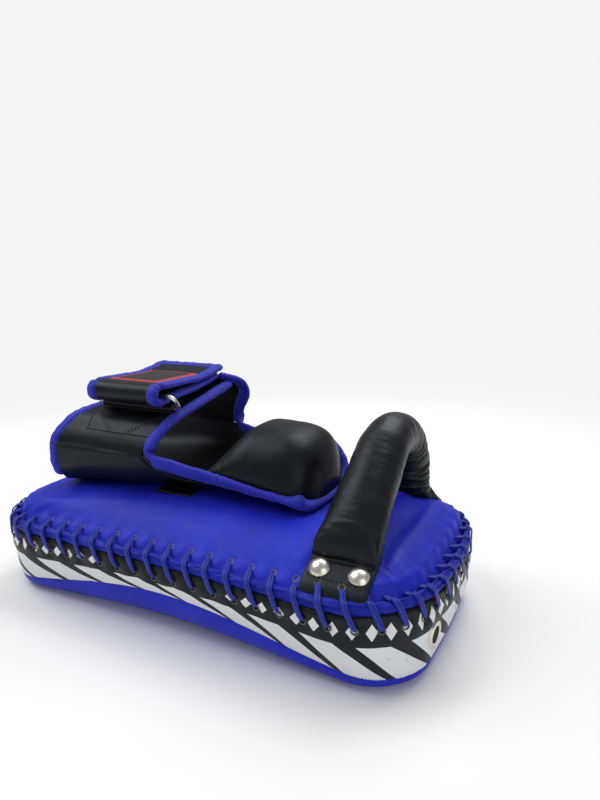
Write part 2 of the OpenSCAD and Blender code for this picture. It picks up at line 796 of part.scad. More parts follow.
module cuff_base() {
    color(black)
        sheet(base_grid(base_t / 2), base_grid(-base_t / 2));
}
module cuff_base_binding() {
    near_xs = concat(near_notch + bead_d, [for (x = base_xs) if (x > near_notch + bead_d) x]);
    far_xs = concat(far_notch + bead_d, [for (x = base_xs) if (x > far_notch + bead_d) x]);
    inner_vs = [for (v = base_vs) if (abs(v) < 1) v];
    round_end = concat(
        [for (x = near_xs) [x, -1]], [for (v = inner_vs) [cuff_right, v]],
        back_to_front([for (x = far_xs) [x, 1]])
    );
    left_end = back_to_front([for (v = base_vs) [cuff_left, v]]);
    color(blue)
        for (line = [round_end, left_end])
            bead(
                [for (p = line) base_at(p[0], p[1])], [for (p = line) base_normal(p[0], p[1])],
                bead_off + fit + 0.1
            );
}

cover_t = 2;
module wrist_pad_cover() {
    color(black)
        difference() {
            sheet(wrist_grid(0, 0, true, 4), wrist_grid(0, 0, false, 0));
            sheet(wrist_grid(cover_t, cover_t, true, 1.4), wrist_grid(cover_t, cover_t, false, 0));
        }
}
module wrist_pad_foam() {
    inner = cover_t + fit;
    color(foam)
        sheet(wrist_grid(inner, inner, true, 0.6), wrist_grid(inner, inner, false, 0));
}

tag_x = -30;
tag_w = 34;
module side_tag() {
    tag_stations = [for (q = stations) if (rim(q).x < 20 && rim(q).y < 1) q];
    color(black)
        intersection() {
            back_patch(tag_stations, [0.68, 0.54, 0.37, 0.18], fit, 0.9, false);
            translate([tag_x - tag_w / 2, -40, 0])
                cube([tag_w, 26, 2 * back_top]);
        }
}

module near_wing() {
    color(black)
        panel(near_curve, near_left, near_right, -wing_t / 2, wing_t / 2);
}
module near_wing_binding() {
    color(blue)
        side_beads(near_curve, near_left, near_right, 1);
}
module far_wing() {
    color(black)
        panel(far_curve, far_left, far_right, -wing_t / 2, wing_t / 2);
}
module far_wing_binding() {
    color(blue)
        side_beads(far_curve, far_left, far_right, 1);
}
function straight(x) = [[0, x], [1, x]];
whole_strap = [straight(strap_edges[0]), straight(strap_edges[1])];
inner_strap = [straight(strap_edges[0] + patch_in), straight(strap_edges[1] - patch_in)];
under_curve = concat(lower_curve, turn_curve);
under_strap = -strap_t / 2 - fit;
module strap_lower() {
    color(black)
        panel(under_curve, whole_strap[0], whole_strap[1], -strap_t / 2, strap_t / 2);
}
module strap_lower_binding() {
    color(blue)
        side_beads(under_curve, whole_strap[0], whole_strap[1], 0);
}
module loop_patch() {
    color("#26272b")
        panel(lower_curve, inner_strap[0], inner_strap[1], under_strap - patch_t, under_strap, 1, 5);
}
module ring_tab() {
    color(black)
        difference() {
            union() {
                panel(
                    near_curve, straight(strap_x - tab_w / 2), straight(strap_x + tab_w / 2),
                    wing_t / 2 + fit, wing_t / 2 + fit + tab_t - 0.2, 5, bar_step
                );
                translate(bar_place)
                    rotate([0, 90, 0])
                        cylinder(r = eye_r, h = tab_w, center = true, $fn = 48);
            }
            translate(bar_place)
                rotate([0, 90, 0])
                    cylinder(r = wire_d / 2 + fit, h = tab_w + 2, center = true, $fn = 48);
        }
}
module strap_ring() {
    run = ring_half - ring_corner;
    color(nickel)
        translate(bar_place)
            rotate([ring_lean, 0, 0])
                for (end = [0, 1])
                    translate([0, ring_reach / 2, 0])
                        rotate([0, 0, 180 * end]) {
                            translate([-run, ring_reach / 2, 0])
                                rotate([0, 90, 0])
                                    cylinder(d = wire_d, h = 2 * run, $fn = 32);
                            translate([ring_half, ring_corner - ring_reach / 2, 0])
                                rotate([-90, 0, 0])
                                    cylinder(d = wire_d, h = ring_reach - 2 * ring_corner, $fn = 32);
                            for (flip = [0, 1])
                                mirror([0, flip, 0])
                                    translate([run, ring_reach / 2 - ring_corner, 0])
                                        rotate_extrude(angle = 90, $fn = 64)
                                            translate([ring_corner, 0])
                                                circle(d = wire_d, $fn = 32);
                        }
}
module strap_flap() {
    color(black)
        panel(flap_curve, whole_strap[0], whole_strap[1], -strap_t / 2, strap_t / 2);
}
module flap_binding() {
    last = len(flap_curve) - 1;
    color(blue)
        bead(
            concat(
                edge_line(flap_curve, whole_strap[1], 1, last),
                back_to_front(edge_line(flap_curve, whole_strap[0], 1, last))
            ),
            concat(edge_normals(flap_curve, 1, last), back_to_front(edge_normals(flap_curve, 1, last)))
        );
}
module hook_patch() {
    color("#26272b")
        panel(flap_curve, inner_strap[0], inner_strap[1], under_strap - patch_t, under_strap, 8, 14);
}
module flap_patch() {
    color("#26272b")
        panel(flap_curve, inner_strap[0], inner_strap[1], -under_strap, patch_t - under_strap, 1, 9);
}

face_panel();
side_band();
back_panel();
rim_roll();
rim_lace();
foam_face();
foam_middle();
foam_back();
vent_eyelet();
vent_washer();
handle_foot_near();
handle_foot_far();
handle_collar_near();
handle_collar_far();
handle_rivets();
rivet_washers();
backing_near();
backing_far();
handle_cover();
handle_core();
cuff_base();
cuff_base_binding();
wrist_pad_cover();
wrist_pad_foam();
side_tag();
near_wing();
near_wing_binding();
far_wing();
far_wing_binding();
strap_lower();
strap_lower_binding();
loop_patch();
ring_tab();
strap_ring();
strap_flap();
flap_binding();
hook_patch();
flap_patch();
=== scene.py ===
from functools import cache
from math import copysign, cos, degrees, exp, hypot, pi, radians, sin, sqrt, tan, tau

import bmesh
import bpy
from mathutils import Matrix, Vector, noise


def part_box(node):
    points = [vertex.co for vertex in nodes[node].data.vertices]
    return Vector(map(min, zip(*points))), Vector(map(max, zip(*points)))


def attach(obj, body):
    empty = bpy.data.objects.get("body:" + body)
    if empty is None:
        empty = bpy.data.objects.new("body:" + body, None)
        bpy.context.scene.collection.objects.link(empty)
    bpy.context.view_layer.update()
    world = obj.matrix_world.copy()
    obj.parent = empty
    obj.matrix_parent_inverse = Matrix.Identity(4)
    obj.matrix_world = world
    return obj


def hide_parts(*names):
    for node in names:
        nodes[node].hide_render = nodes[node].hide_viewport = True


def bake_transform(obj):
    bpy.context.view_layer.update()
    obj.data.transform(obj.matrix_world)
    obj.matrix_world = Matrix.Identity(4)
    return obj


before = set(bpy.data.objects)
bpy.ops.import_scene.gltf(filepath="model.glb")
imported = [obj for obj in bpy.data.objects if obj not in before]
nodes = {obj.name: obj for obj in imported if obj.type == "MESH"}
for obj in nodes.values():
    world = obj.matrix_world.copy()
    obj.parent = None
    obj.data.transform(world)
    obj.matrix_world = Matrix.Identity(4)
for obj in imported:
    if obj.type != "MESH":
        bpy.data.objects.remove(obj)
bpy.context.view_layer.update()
scene = bpy.context.scene
scene.view_settings.view_transform = "Standard"
mm = 0.001  # lengths of pieces are in millimetres until they reach a mesh
print("stage: frame loaded,", len(nodes), "nodes")


# the turn that lays x, y and z along three axes
def axesTurn(x, y, z):
    return Matrix((x, y, z)).transposed().to_4x4()


# the photograph's camera
shot = {
    "eye": (0.276581, -0.405471, 0.261221),
    "right": (0.887943, 0.459783, -0.012506),
    "up": (-0.085277, 0.191285, 0.977823),
    "lens": 27.64,
}
right, up = Vector(shot["right"]), Vector(shot["up"])
lens = bpy.data.cameras.new("studioCamera")
lens.sensor_width = 36
lens.lens = shot["lens"]
lens.clip_start = 0.01
camera = bpy.data.objects.new("studioCamera", lens)
camera.matrix_world = Matrix.Translation(shot["eye"]) @ axesTurn(right, up, right.cross(up))
scene.collection.objects.link(camera)
scene.camera = camera
print("stage: camera set")


# a shader maths operator, or its reflected form
def operator(kind, reflected=False):
    def apply(self, other=0.0):
        first, second = (other, self) if reflected else (self, other)
        return self.finish.node("Math", {"operation": kind}, {0: first, 1: second})
    return apply


# a wrapped socket, and below it the material or world that it belongs to
class Wire:
    __add__, __radd__ = operator("ADD"), operator("ADD", True)
    __sub__, __rsub__ = operator("SUBTRACT"), operator("SUBTRACT", True)
    __mul__, __rmul__ = operator("MULTIPLY"), operator("MULTIPLY", True)
    __mod__, __abs__ = operator("FLOORED_MODULO"), operator("ABSOLUTE")
    __lt__, __gt__ = operator("LESS_THAN"), operator("GREATER_THAN")
    least, most, sine = operator("MINIMUM"), operator("MAXIMUM"), operator("SINE")

    def __init__(self, finish, socket):
        self.finish = finish
        self.socket = socket

    def other(self, name):
        return Wire(self.finish, self.socket.node.outputs[name])

    # 0 below low, 1 above high
    def ease(self, low, high):
        return self.finish.node("MapRange", {"interpolation_type": "SMOOTHSTEP"},
                                {"Value": self, "From Min": low, "From Max": high})


class Finish:
    def __init__(self, owner):
        self.owner = owner
        owner.use_nodes = True
        self.tree = owner.node_tree
        self.tree.nodes.clear()

    def node(self, kind, settings=None, sockets=None, out=0):
        made = self.tree.nodes.new("ShaderNode" + kind)
        for key, value in (settings or {}).items():
            setattr(made, key, value)
        for key, value in (sockets or {}).items():
            if isinstance(value, Wire):
                self.tree.links.new(value.socket, made.inputs[key])
            else:
                made.inputs[key].default_value = value
        return Wire(self, made.outputs[out]) if len(made.outputs) else None

    def place(self):
        return self.node("TexCoord", out="Object")

    def along(self):
        parts = self.node("SeparateXYZ", sockets={0: self.node("UVMap", {"uv_map": "UVMap"})})
        return parts, parts.other("Y")

    def cloud(self, vector, scale, detail=3.0, rough=0.5):
        sockets = {"Vector": vector, "Scale": scale, "Detail": detail, "Roughness": rough}
        return self.node("TexNoise", sockets=sockets)

    def blendColour(self, share, first, second):
        pick = {0: share}
        for slot, colour in ((6, first), (7, second)):
            pick[slot] = colour if isinstance(colour, Wire) else (*colour, 1)
        return self.node("Mix", {"data_type": "RGBA"}, pick, 2)

    def bumped(self, height, strength, depth):
        return self.node("Bump", sockets={"Strength": strength, "Distance": depth, "Height": height})

    def surface(self, **sockets):
        values = {key.replace("_", " "): value for key, value in sockets.items()}
        shader = self.node("BsdfPrincipled", sockets=values)
        self.node("OutputMaterial", sockets={0: shader})
        return self.owner


def newFinish(name):
    return Finish(bpy.data.materials.new(name))


# the bluish tint on the leather's reflections stands in for cool light: painted light colour
leatherLook = {"crease": 95.0, "cloud": 17.0, "bump": 0.32, "coolLightTint": (0.74, 0.86, 1.0, 1.0)}


# leather: pores, soft creases with painted shade in them, uneven dye and a rubbed sheen
def leatherFinish(name, dark, light, shine, grain=560.0, depth=0.0006, gloss=0.2, printed=None):
    finish = newFinish(name)
    place = finish.place()
    pores = finish.node("TexVoronoi", {"feature": "SMOOTH_F1"},
                        {"Vector": place, "Scale": grain, "Smoothness": 0.4}, "Distance")
    fine = finish.cloud(place, grain * 0.42, 2.0)
    crease = finish.cloud(place, leatherLook["crease"], 4.0, 0.6)
    cloud = finish.cloud(place, leatherLook["cloud"], 3.0)
    # the crease share darkens the colour where the bump sinks: painted shade in the creases; the cloud share
    # is uneven dye
    tone = (cloud * 0.65 + crease * 0.35).ease(0.25, 0.75)
    colour = finish.blendColour(tone, dark, light)
    rough = shine + (crease - 0.5) * 0.22 + (fine - 0.5) * 0.12
    if printed:
        colour, rough = printed(finish, colour, rough)
    height = pores * 0.4 + fine * 0.35 + crease * 0.5
    # reflections take the cool light tint: painted light colour
    return finish.surface(Base_Color=colour, Roughness=rough,
                          Normal=finish.bumped(height, leatherLook["bump"], depth),
                          Specular_IOR_Level=gloss, Specular_Tint=leatherLook["coolLightTint"])


# woven nylon tape: ribs across, and a row of stitches along it
def wovenFinish(name, dark, light, ribs, row=None, lanes=0.0):
    finish = newFinish(name)
    around, along = finish.along()
    rib = (along * (ribs * tau)).sine() * 0.5 + 0.5
    cross = (around * (22 * tau)).sine() * 0.5 + 0.5
    weave = rib * 0.6 + cross * 0.4
    if lanes:
        weave = weave * 0.3 + ((around * (lanes * tau)).sine() * 0.5 + 0.5) * 1.1
    cloud = finish.cloud(finish.place(), 60.0, 3.0)
    tone = (weave * (0.7 if lanes else 0.5) + cloud * 0.45).ease(0.2, 0.9)
    colour = finish.blendColour(tone, dark, light)
    height = weave
    if row:
        dash = (along * row["count"]) % 1.0
        near = abs(around - row["place"]).least(abs(around - row["other"]))
        seam = 1.0 - near.ease(row["wide"] * 0.5, row["wide"])
        seam = seam * (1.0 - abs(dash - 0.5).ease(0.26, 0.34))
        dentAndShade = 1.0 - near.ease(row["wide"], row["wide"] * 2.4)
        # the dent beside each stitch row is darkened towards the thread colour: painted shade in the dent
        colour = finish.blendColour(seam * 0.75 + dentAndShade * 0.18, colour, row["thread"])
        height = weave * 0.8 + seam * 1.6 - dentAndShade * 1.5
    return finish.surface(Base_Color=colour, Roughness=0.62 - weave * 0.12, Specular_IOR_Level=0.22,
                          Sheen_Weight=0.1, Normal=finish.bumped(height, 0.5, 0.0006))


def metalFinish(name, colour, shade, rough):
    finish = newFinish(name)
    place = finish.place()
    wear = finish.cloud(place, 260.0, 4.0, 0.6)
    stretched = finish.node("Mapping", sockets={"Vector": place, "Scale": (1, 1, 6)})
    scuff = finish.cloud(stretched, 700.0, 2.0)
    tone = finish.blendColour(wear.ease(0.3, 0.75), shade, colour)
    return finish.surface(Base_Color=tone, Metallic=1.0, Roughness=rough + scuff * 0.12,
                          Normal=finish.bumped(scuff, 0.06, 0.0002))


def plainFinish(name, dark, light, rough, scale=300.0):
    finish = newFinish(name)
    cloud = finish.cloud(finish.place(), scale, 4.0)
    return finish.surface(Base_Color=finish.blendColour(cloud, dark, light),
                          Roughness=rough + (cloud - 0.5) * 0.2, Normal=finish.bumped(cloud, 0.4, 0.0005))


# band print: plain slanted blades, longer towards the ends, over a row of small diamonds
bandPrint = {"white": (0.76, 0.77, 0.78), "blades": 27.0, "lean": 1.6, "share": 0.86, "diamonds": 86.0}


def printBand(finish, colour, rough):
    around, up = finish.along()  # arc share and height share
    step = (around * bandPrint["blades"] + up * bandPrint["lean"]) % 1.0
    fade = abs(((around * 4.0) % 2.0) - 1.0)
    blade = step < (bandPrint["share"] - up * 0.45)
    lower = (up > 0.10) * (up < 0.50 + fade * 0.14)
    small = (around * bandPrint["diamonds"]) % 1.0 - 0.5
    diamond = (abs(small) * 1.3 + abs((up - 0.78) * 4.0)) < 0.42
    wear = finish.cloud(finish.place(), 320.0, 5.0, 0.7)
    mask = (blade * lower).most(diamond * (fade > 0.2)) * (1.0 - wear.ease(0.62, 0.74) * 0.45)
    return finish.blendColour(mask, colour, bandPrint["white"]), rough + mask * 0.06


bindingRow = {"count": 130.0, "place": 0.36, "other": 0.64, "wide": 0.02, "thread": (0.006, 0.008, 0.15)}
finishes = {
    "blue": leatherFinish("royalLeather", (0.011, 0.016, 0.38), (0.021, 0.032, 0.55), 0.44, gloss=0.17),
    # the roll's leather is a darker copy of the royal leather: painted shade on the roll
    "roll": leatherFinish("royalRollLeatherShaded", (0.005, 0.009, 0.21), (0.012, 0.020, 0.40), 0.40,
                          grain=480.0, gloss=0.16),
    "black": leatherFinish("blackLeather", (0.0030, 0.0038, 0.0054), (0.0062, 0.0076, 0.0102), 0.40),
    "tube": leatherFinish("blackTubeLeather", (0.0036, 0.0044, 0.0056), (0.0085, 0.0098, 0.0118), 0.40,
                          grain=420.0, depth=0.0008, gloss=0.26),
    "band": leatherFinish("printedBandLeather", (0.0050, 0.0056, 0.0068), (0.0100, 0.0108, 0.0125), 0.42,
                          grain=520.0, gloss=0.25, printed=printBand),
    "binding": wovenFinish("blueBinding", (0.009, 0.012, 0.30), (0.022, 0.034, 0.56), 620.0, bindingRow),
    "lace": wovenFinish("blueLace", (0.003, 0.006, 0.11), (0.016, 0.032, 0.40), 1500.0, lanes=6.0),
    "nickel": metalFinish("warmNickel", (0.86, 0.82, 0.74), (0.70, 0.65, 0.57), 0.25),
    "thread": plainFinish("blackThread", (0.006, 0.006, 0.007), (0.03, 0.03, 0.033), 0.6, 900.0),
    "blueThread": plainFinish("blueThread", (0.006, 0.010, 0.20), (0.02, 0.03, 0.42), 0.6, 900.0),
    "lip": plainFinish("cutLeatherLip", (0.055, 0.055, 0.040), (0.20, 0.19, 0.14), 0.7, 500.0),
    # near-black finish for the insides of the lace holes and the vent: painted shade
    "dark": plainFinish("holeShadePainted", (0.003, 0.003, 0.004), (0.008, 0.008, 0.010), 0.85, 200.0),
    "pile": plainFinish("hookPile", (0.006, 0.006, 0.007), (0.028, 0.028, 0.030), 0.9, 1100.0),
    "red": plainFinish("redEdging", (0.34, 0.012, 0.014), (0.56, 0.03, 0.03), 0.55, 700.0),
    "backing": plainFinish("backingBoard", (0.05, 0.05, 0.05), (0.09, 0.09, 0.09), 0.6),
}
print("stage: finishes made,", len(finishes))

weld = 2e-6  # metres


# a grid whose points are placed by their shares across and along
def warpGrid(bm, cols, rows, place):
    before = set(bm.verts)
    bmesh.ops.create_grid(bm, x_segments=cols, y_segments=rows, size=0.5, calc_uvs=True)
    fresh = [v for v in bm.verts if v not in before]
    for v in fresh:
        v.co = Vector(place(round(v.co.x + 0.5, 6), round(v.co.y + 0.5, 6))) * mm
    return fresh


def newMesh():
    bm = bmesh.new()
    bm.loops.layers.uv.new("UVMap")
    return bm


# a mesh made an object: its finish, the body that it rides and the CAD nodes that it stands for
def makePiece(name, bm, finish, body="pad", stands=(), slot=None, merge=True, wall=0.0, smooth=0,
              flip=False):
    if merge:
        bmesh.ops.remove_doubles(bm, verts=bm.verts, dist=weld)
    if flip:
        bmesh.ops.reverse_faces(bm, faces=bm.faces)
    for face in bm.faces:
        face.smooth = True
    mesh = bpy.data.meshes.new(name)
    bm.to_mesh(mesh)
    bm.free()
    piece = bpy.data.objects.new(name, mesh)
    scene.collection.objects.link(piece)
    for each in finish if isinstance(finish, list) else [finish]:
        mesh.materials.append(finishes[each])
    if wall:
        shell = piece.modifiers.new("wall", "SOLIDIFY")
        shell.thickness, shell.offset = wall * mm, 0.0
    if smooth:
        finer = piece.modifiers.new("smooth", "SUBSURF")
        finer.levels = finer.render_levels = smooth
    if body:
        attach(piece, body)
    if stands:
        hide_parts(*stands)
    return piece


# a skin or sheet made from one warped grid, smoothed between two heights where it bends
def makeSheet(name, cols, rows, place, stands, finish="black", slot="black_leather", bend=None, **more):
    bm = newMesh()
    fresh = warpGrid(bm, cols, rows, place)
    if bend:
        bent = [v for v in fresh if bend[0] * mm < v.co.z < bend[1] * mm]
        bmesh.ops.smooth_vert(bm, verts=bent, factor=0.5, use_axis_y=True, use_axis_z=True)
    return makePiece(name, bm, finish, stands=stands, slot=slot, **more)


def mixed(a, b, share):
    return a + (b - a) * share


def clamped(t):
    return max(0.0, min(1.0, t))


def eased(t):
    t = clamped(t)
    return t * t * (3 - 2 * t)


# 0 up to a start, 1 after a further run; with the first two swapped it falls
def ramp(x, start, run):
    return eased((x - start) / run)


# a smooth line through knots of (place, value)
def through(knots):
    def slope(k):
        (xa, ya), (xb, yb) = knots[max(k - 1, 0)], knots[min(k + 1, len(knots) - 1)]
        return (yb - ya) / (xb - xa)

    def read(x):
        x = max(knots[0][0], min(knots[-1][0], x))
        i = max(k for k in range(len(knots) - 1) if knots[k][0] <= x)
        (xa, ya), (xb, yb) = knots[i], knots[i + 1]
        h = xb - xa
        t = (x - xa) / h
        return (ya * (1 + 2 * t) * (1 - t) ** 2 + slope(i) * h * t * (1 - t) ** 2
                + yb * t * t * (3 - 2 * t) + slope(i + 1) * h * t * t * (t - 1))
    return read


# Catmull-Rom line through points, read by share
def spline(points):
    points = [Vector(p) for p in points]
    count = len(points) - 1

    def read(share):
        s = clamped(share) * count
        i = min(int(s), count - 1)
        t = s - i
        p1, p2 = points[i], points[i + 1]
        p0 = points[i - 1] if i else p1 * 2 - p2
        p3 = points[i + 2] if i + 2 <= count else p2 * 2 - p1
        return 0.5 * (2 * p1 + (p2 - p0) * t + (2 * p0 - 5 * p1 + 4 * p2 - p3) * t * t
                      + (3 * p1 - p0 - 3 * p2 + p3) * t ** 3)
    return read


def ripple(x, y, z=0.0):
    return noise.noise(Vector((x, y, z)))


# cosine and sine of a share of a turn, boxier with a higher power
def boxedTurn(share, power):
    g = -tau * share
    return [copysign(abs(c) ** (2 / power), c) for c in (cos(g), sin(g))]


# an oval strip swept along frames of (centre, wide axis, thick axis, half wide, half thick)
def sweepOval(bm, frames, cols, power):
    rows = len(frames) - 1

    def place(u, w):
        centre, wide, thick, a, b = frames[min(rows, int(round(w * rows)))]
        c, s = boxedTurn(u, power)
        return centre + wide * (a * c) + thick * (b * s)
    return warpGrid(bm, cols, rows, place)


def turnOut(face, out):
    if face.normal.dot(out) < 0:
        face.normal_flip()


# weld a swept tube's seam and close its ends
def closeMesh(bm):
    bmesh.ops.remove_doubles(bm, verts=bm.verts, dist=weld)
    bmesh.ops.holes_fill(bm, edges=[e for e in bm.edges if e.is_boundary])
    bmesh.ops.recalc_face_normals(bm, faces=bm.faces)


# stitches as (pitch, length, thickness, rise)
thread = {
    "seam": (2.0, 1.7, 0.55, 0.0), "foot": (3.1, 2.4, 0.8, 0.05), "tape": (3.4, 2.5, 0.62, 0.0),
    "tab": (2.9, 2.2, 0.7, 0.1),
}


# small rounded stitches laid along a line of (place, normal)
def layStitches(bm, line, pitch, long, thick, rise):
    run = 0.0
    due = pitch * 0.5
    for (p, n), (p2, _) in zip(line, line[1:]):
        step = (p2 - p).length
        while step > 1e-6 and due <= run + step:
            centre = p.lerp(p2, (due - run) / step)
            tangent = (p2 - p).normalized()
            up = (n - tangent * n.dot(tangent)).normalized()
            turn = axesTurn(tangent, up.cross(tangent), up)
            size = Matrix.Diagonal((long / 2, thick / 2, thick / 2, 1))
            spot = Matrix.Translation((centre + up * rise) * mm) @ turn @ size @ Matrix.Scale(mm, 4)
            bmesh.ops.create_icosphere(bm, subdivisions=1, radius=1.0, matrix=spot)
            due += pitch
        run += step


# pad outline, as in the part's source
pad = {
    "length": 390, "width": 200, "corner": 51, "bow": 6, "waist": 3, "bandTop": 52, "taper": 12,
    "seamEnd": 8, "seamMid": 33, "crown": 22, "crownPower": 2.5, "backIn": 17.1, "backZ": 66.2,
    "slopeLow": (8.14, 58.26),
}
halfL, halfW = pad["length"] / 2 - pad["bow"], pad["width"] / 2
endRun, sideRun = halfW - pad["corner"], halfL - pad["corner"]
arcRun = pi * pad["corner"] / 2
quarterRun = endRun + arcRun + sideRun
rimLength = 4 * quarterRun

# handle: one leather piece, flat at its feet and stuffed between them; the back and the lace make room for it
handle = {
    "x": 132, "slope": 37, "lift": 6.2, "legY": 72, "bendY": 21, "bendR": 43, "sole": 2.3, "footTop": 1.95,
    "footHalf": 24.5, "besideHalf": 30, "footIn": 56, "stitchHalf": 19.6,
}


def quarterPoint(s):
    r = pad["corner"]
    if s < endRun:
        return halfL, s
    if s < endRun + arcRun:
        g = (s - endRun) / r
        return halfL - r + r * cos(g), halfW - r + r * sin(g)
    return quarterRun - s, halfW


@cache
def rimPoint(q):
    w = 4 * (q % 1.0)
    k = min(3, int(w))
    e = w - k
    x, y = quarterPoint((e if k % 2 == 0 else 1 - e) * quarterRun)
    x *= 1 if k in (0, 3) else -1
    y *= 1 if k < 2 else -1
    return (x * (1 + pad["bow"] / halfL * (1 - (y / halfW) ** 2)),
            y * (1 - pad["waist"] / halfW * cos(pi / 2 * x / halfL) ** 2))


@cache
def rimAlong(q):
    a, b = rimPoint(q - 0.004), rimPoint(q + 0.004)
    return Vector((b[0] - a[0], b[1] - a[1])).normalized()


# the lacing draws the rim in under the back at the ends, most of all at the corners
drawIn = {"from": 125, "over": 45, "end": 4.0, "corner": 4.0, "cornerY": 66, "spread": 24}


@cache
def drawn(q):
    x, y = (abs(c) for c in rimPoint(q))
    corner = drawIn["corner"] * exp(-((y - drawIn["cornerY"]) / drawIn["spread"]) ** 2)
    return ramp(x, drawIn["from"], drawIn["over"]) * (drawIn["end"] + corner)


# a place at a rim share, an inset from the rim and a height
def at(q, u, z):
    x, y = rimPoint(q)
    d = rimAlong(q)
    rise = 0.6 * ramp(z, 10, 20) + 0.4 * ramp(z, 37, 16)
    u += drawn(q) * rise * (1 - ramp(u, 1, 13))
    return Vector((x - d.y * u, y + d.x * u, z))


def sideIn(z):
    return pad["taper"] * max(0.0, 1 - z / pad["bandTop"]) ** 1.2


# a place on the band, standing out from it
def onBand(q, z, out=0.0):
    return at(q, sideIn(z) - out, z)


@cache
def seamZ(q):
    return mixed(pad["seamEnd"], pad["seamMid"], cos(pi * rimPoint(q)[0] / pad["length"]) ** 2)


def crownZ(s):
    return pad["backZ"] + pad["crown"] * (1 - s ** pad["crownPower"])


# share of the back's own outline at a place: 0 in the middle, 1 on the outline
def ringShare(x, y):
    fx, fy, r = pad["length"] / 2 - pad["backIn"], halfW - pad["backIn"], pad["corner"] - pad["backIn"]
    x, y = abs(x), abs(y)
    s = max(x / fx, y / fy)
    if s and x / s > fx - r and y / s > fy - r:
        cx, cy = fx - r, fy - r
        a, b, c = cx * cx + cy * cy - r * r, -2 * (x * cx + y * cy), x * x + y * y
        s = 2 * c / (-b + sqrt(max(0.0, b * b - 4 * a * c)))
    return s


def backAt(x, y):
    return crownZ(min(1.0, ringShare(x, y)))


# how much fuller the stuffed back is than its plain crown: evenly, and between the handle's feet
swell = {"even": 2.3, "grip": 7.0, "ends": 4.5}


def fullness(x, y, u):
    start = mixed(17, 40, ramp(30, abs(x - handle["x"]), 12))
    even = ramp(u, start, 16) * ramp(88, u, 44)
    grip = ramp(x, 60, 60) * ramp(190, x, 62) * ramp(76, abs(y), 38)
    return swell["even"] * even + swell["grip"] * grip


# the ends puff up straight behind their lace holes
def puffed(q, u):
    x = rimPoint(q)[0]
    foot = ramp(27, abs(x - handle["x"]), 6)
    behind = ramp(u, 12, 6) * (1 - ramp(u, 24, 26))
    return swell["ends"] * ramp(abs(x), 120, 45) * (1 - foot) * behind


# lacing places; the lace goes over the roll at these angles, and the roll's folds are (angle, sway)
lace = {
    "stitches": 62, "slant": 0.75, "holeIn": 13.8, "holeZ": 64.2, "holeSlope": 0.886, "bandZ": 46,
    "wide": 4.3, "thick": 1.2, "ride": 4.85, "angles": (66, 96, 126, 156, 184),
    "overFoot": 3.6, "besideFoot": -2.4,
}
roll = {"inset": 3.5, "height": 59.5, "radius": 4.15, "folds": ((88, 40), (128, 46), (172, 40))}
turns = lace["stitches"]
holeOut = Vector((-lace["holeSlope"], 1)).normalized()
stitchRun = rimLength / turns
rimCols = turns * 10


# inset and height at a distance from the roll's middle
def roundRoll(r, a):
    return roll["inset"] + r * cos(a), roll["height"] + r * sin(a)


def stitchQ(i):
    return (i + 0.5) / turns


# distance along the rim from the nearest turn of the lace, which leans as it goes over
def fromStitch(q, lean=0.0):
    phase = q * turns - 0.5 - lean
    return (phase - round(phase)) * stitchRun


# how far the leather dips at a lace hole, and the puckers that run from it
def pucker(q, u):
    away = fromStitch(q)
    inner = u - lace["holeIn"]
    past = max(0.0, inner)
    start = ramp(u, 7, 6)
    dip = 1.5 * exp(-(away / 3.6) ** 2 - (inner / 4.2) ** 2)
    wave = 0.5 * cos(tau * away / stitchRun) * exp(-past / 7) * start
    x, y = rimPoint(q)
    corner = ramp(abs(x), 120, 40) * ramp(abs(y), 40, 30)
    reach = exp(-past / (7 + 9 * corner)) * start
    crease = abs(ripple(q * rimLength / 3.4, inner / 24, 3.7)) * (0.9 + 1.1 * corner) * reach
    return dip + wave + crease


def skinWaves(p):
    return (0.75 * ripple(p.x / 55, p.y / 40, 1.3) + 0.32 * ripple(p.x / 17, p.y / 23, 5.1)
            + 0.16 * ripple(p.x / 7, p.y / 11, 8.2))


# the back's slope between the roll and the crown
def slopeZ(u):
    low = pad["slopeLow"]
    t = clamped((u - low[0]) / (pad["backIn"] - low[0]))
    return mixed(low[1], pad["backZ"], t) + 1.3 * sin(pi * t)


# the back's rows: under the roll, up the slope, then over the crown
back = {"wrap": 0.1, "slope": 0.34, "crowd": 1.25, "tuck": 4.8}


def makeBack():
    wrap, slope = back["wrap"], back["slope"]

    def place(q, w):
        if w < wrap:
            return at(q, *roundRoll(back["tuck"], radians(mixed(-95, -15, w / wrap))))
        if w < slope:
            u = mixed(pad["slopeLow"][0], pad["backIn"], (w - wrap) / (slope - wrap))
            return at(q, u, slopeZ(u) + puffed(q, u) - pucker(q, u))
        s = 1 - ((w - slope) / (1 - slope)) ** back["crowd"]
        p = at(q, pad["backIn"], 0) * s
        u = pad["backIn"] + (1 - s) * hypot(*rimPoint(q)) * 0.8
        full = skinWaves(p) * ramp(u, 20, 25) + fullness(p.x, p.y, u) + puffed(q, u)
        return p + Vector((0, 0, crownZ(s) + full - pucker(q, u) * ramp(48, u, 20)))
    stands = ["back_panel", "foam_back"]
    piece = makeSheet("backSkin", rimCols, 84, place, stands, "blue", "blue_leather")


# the band's rows: a hem at the seam, the wall, then a lip under the roll
band = {"hem": 0.12, "lip": 0.9, "lipZ": 55.8, "bulge": 1.5}
ventSpot = sum(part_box("vent_eyelet"), Vector()) / (2 * mm)


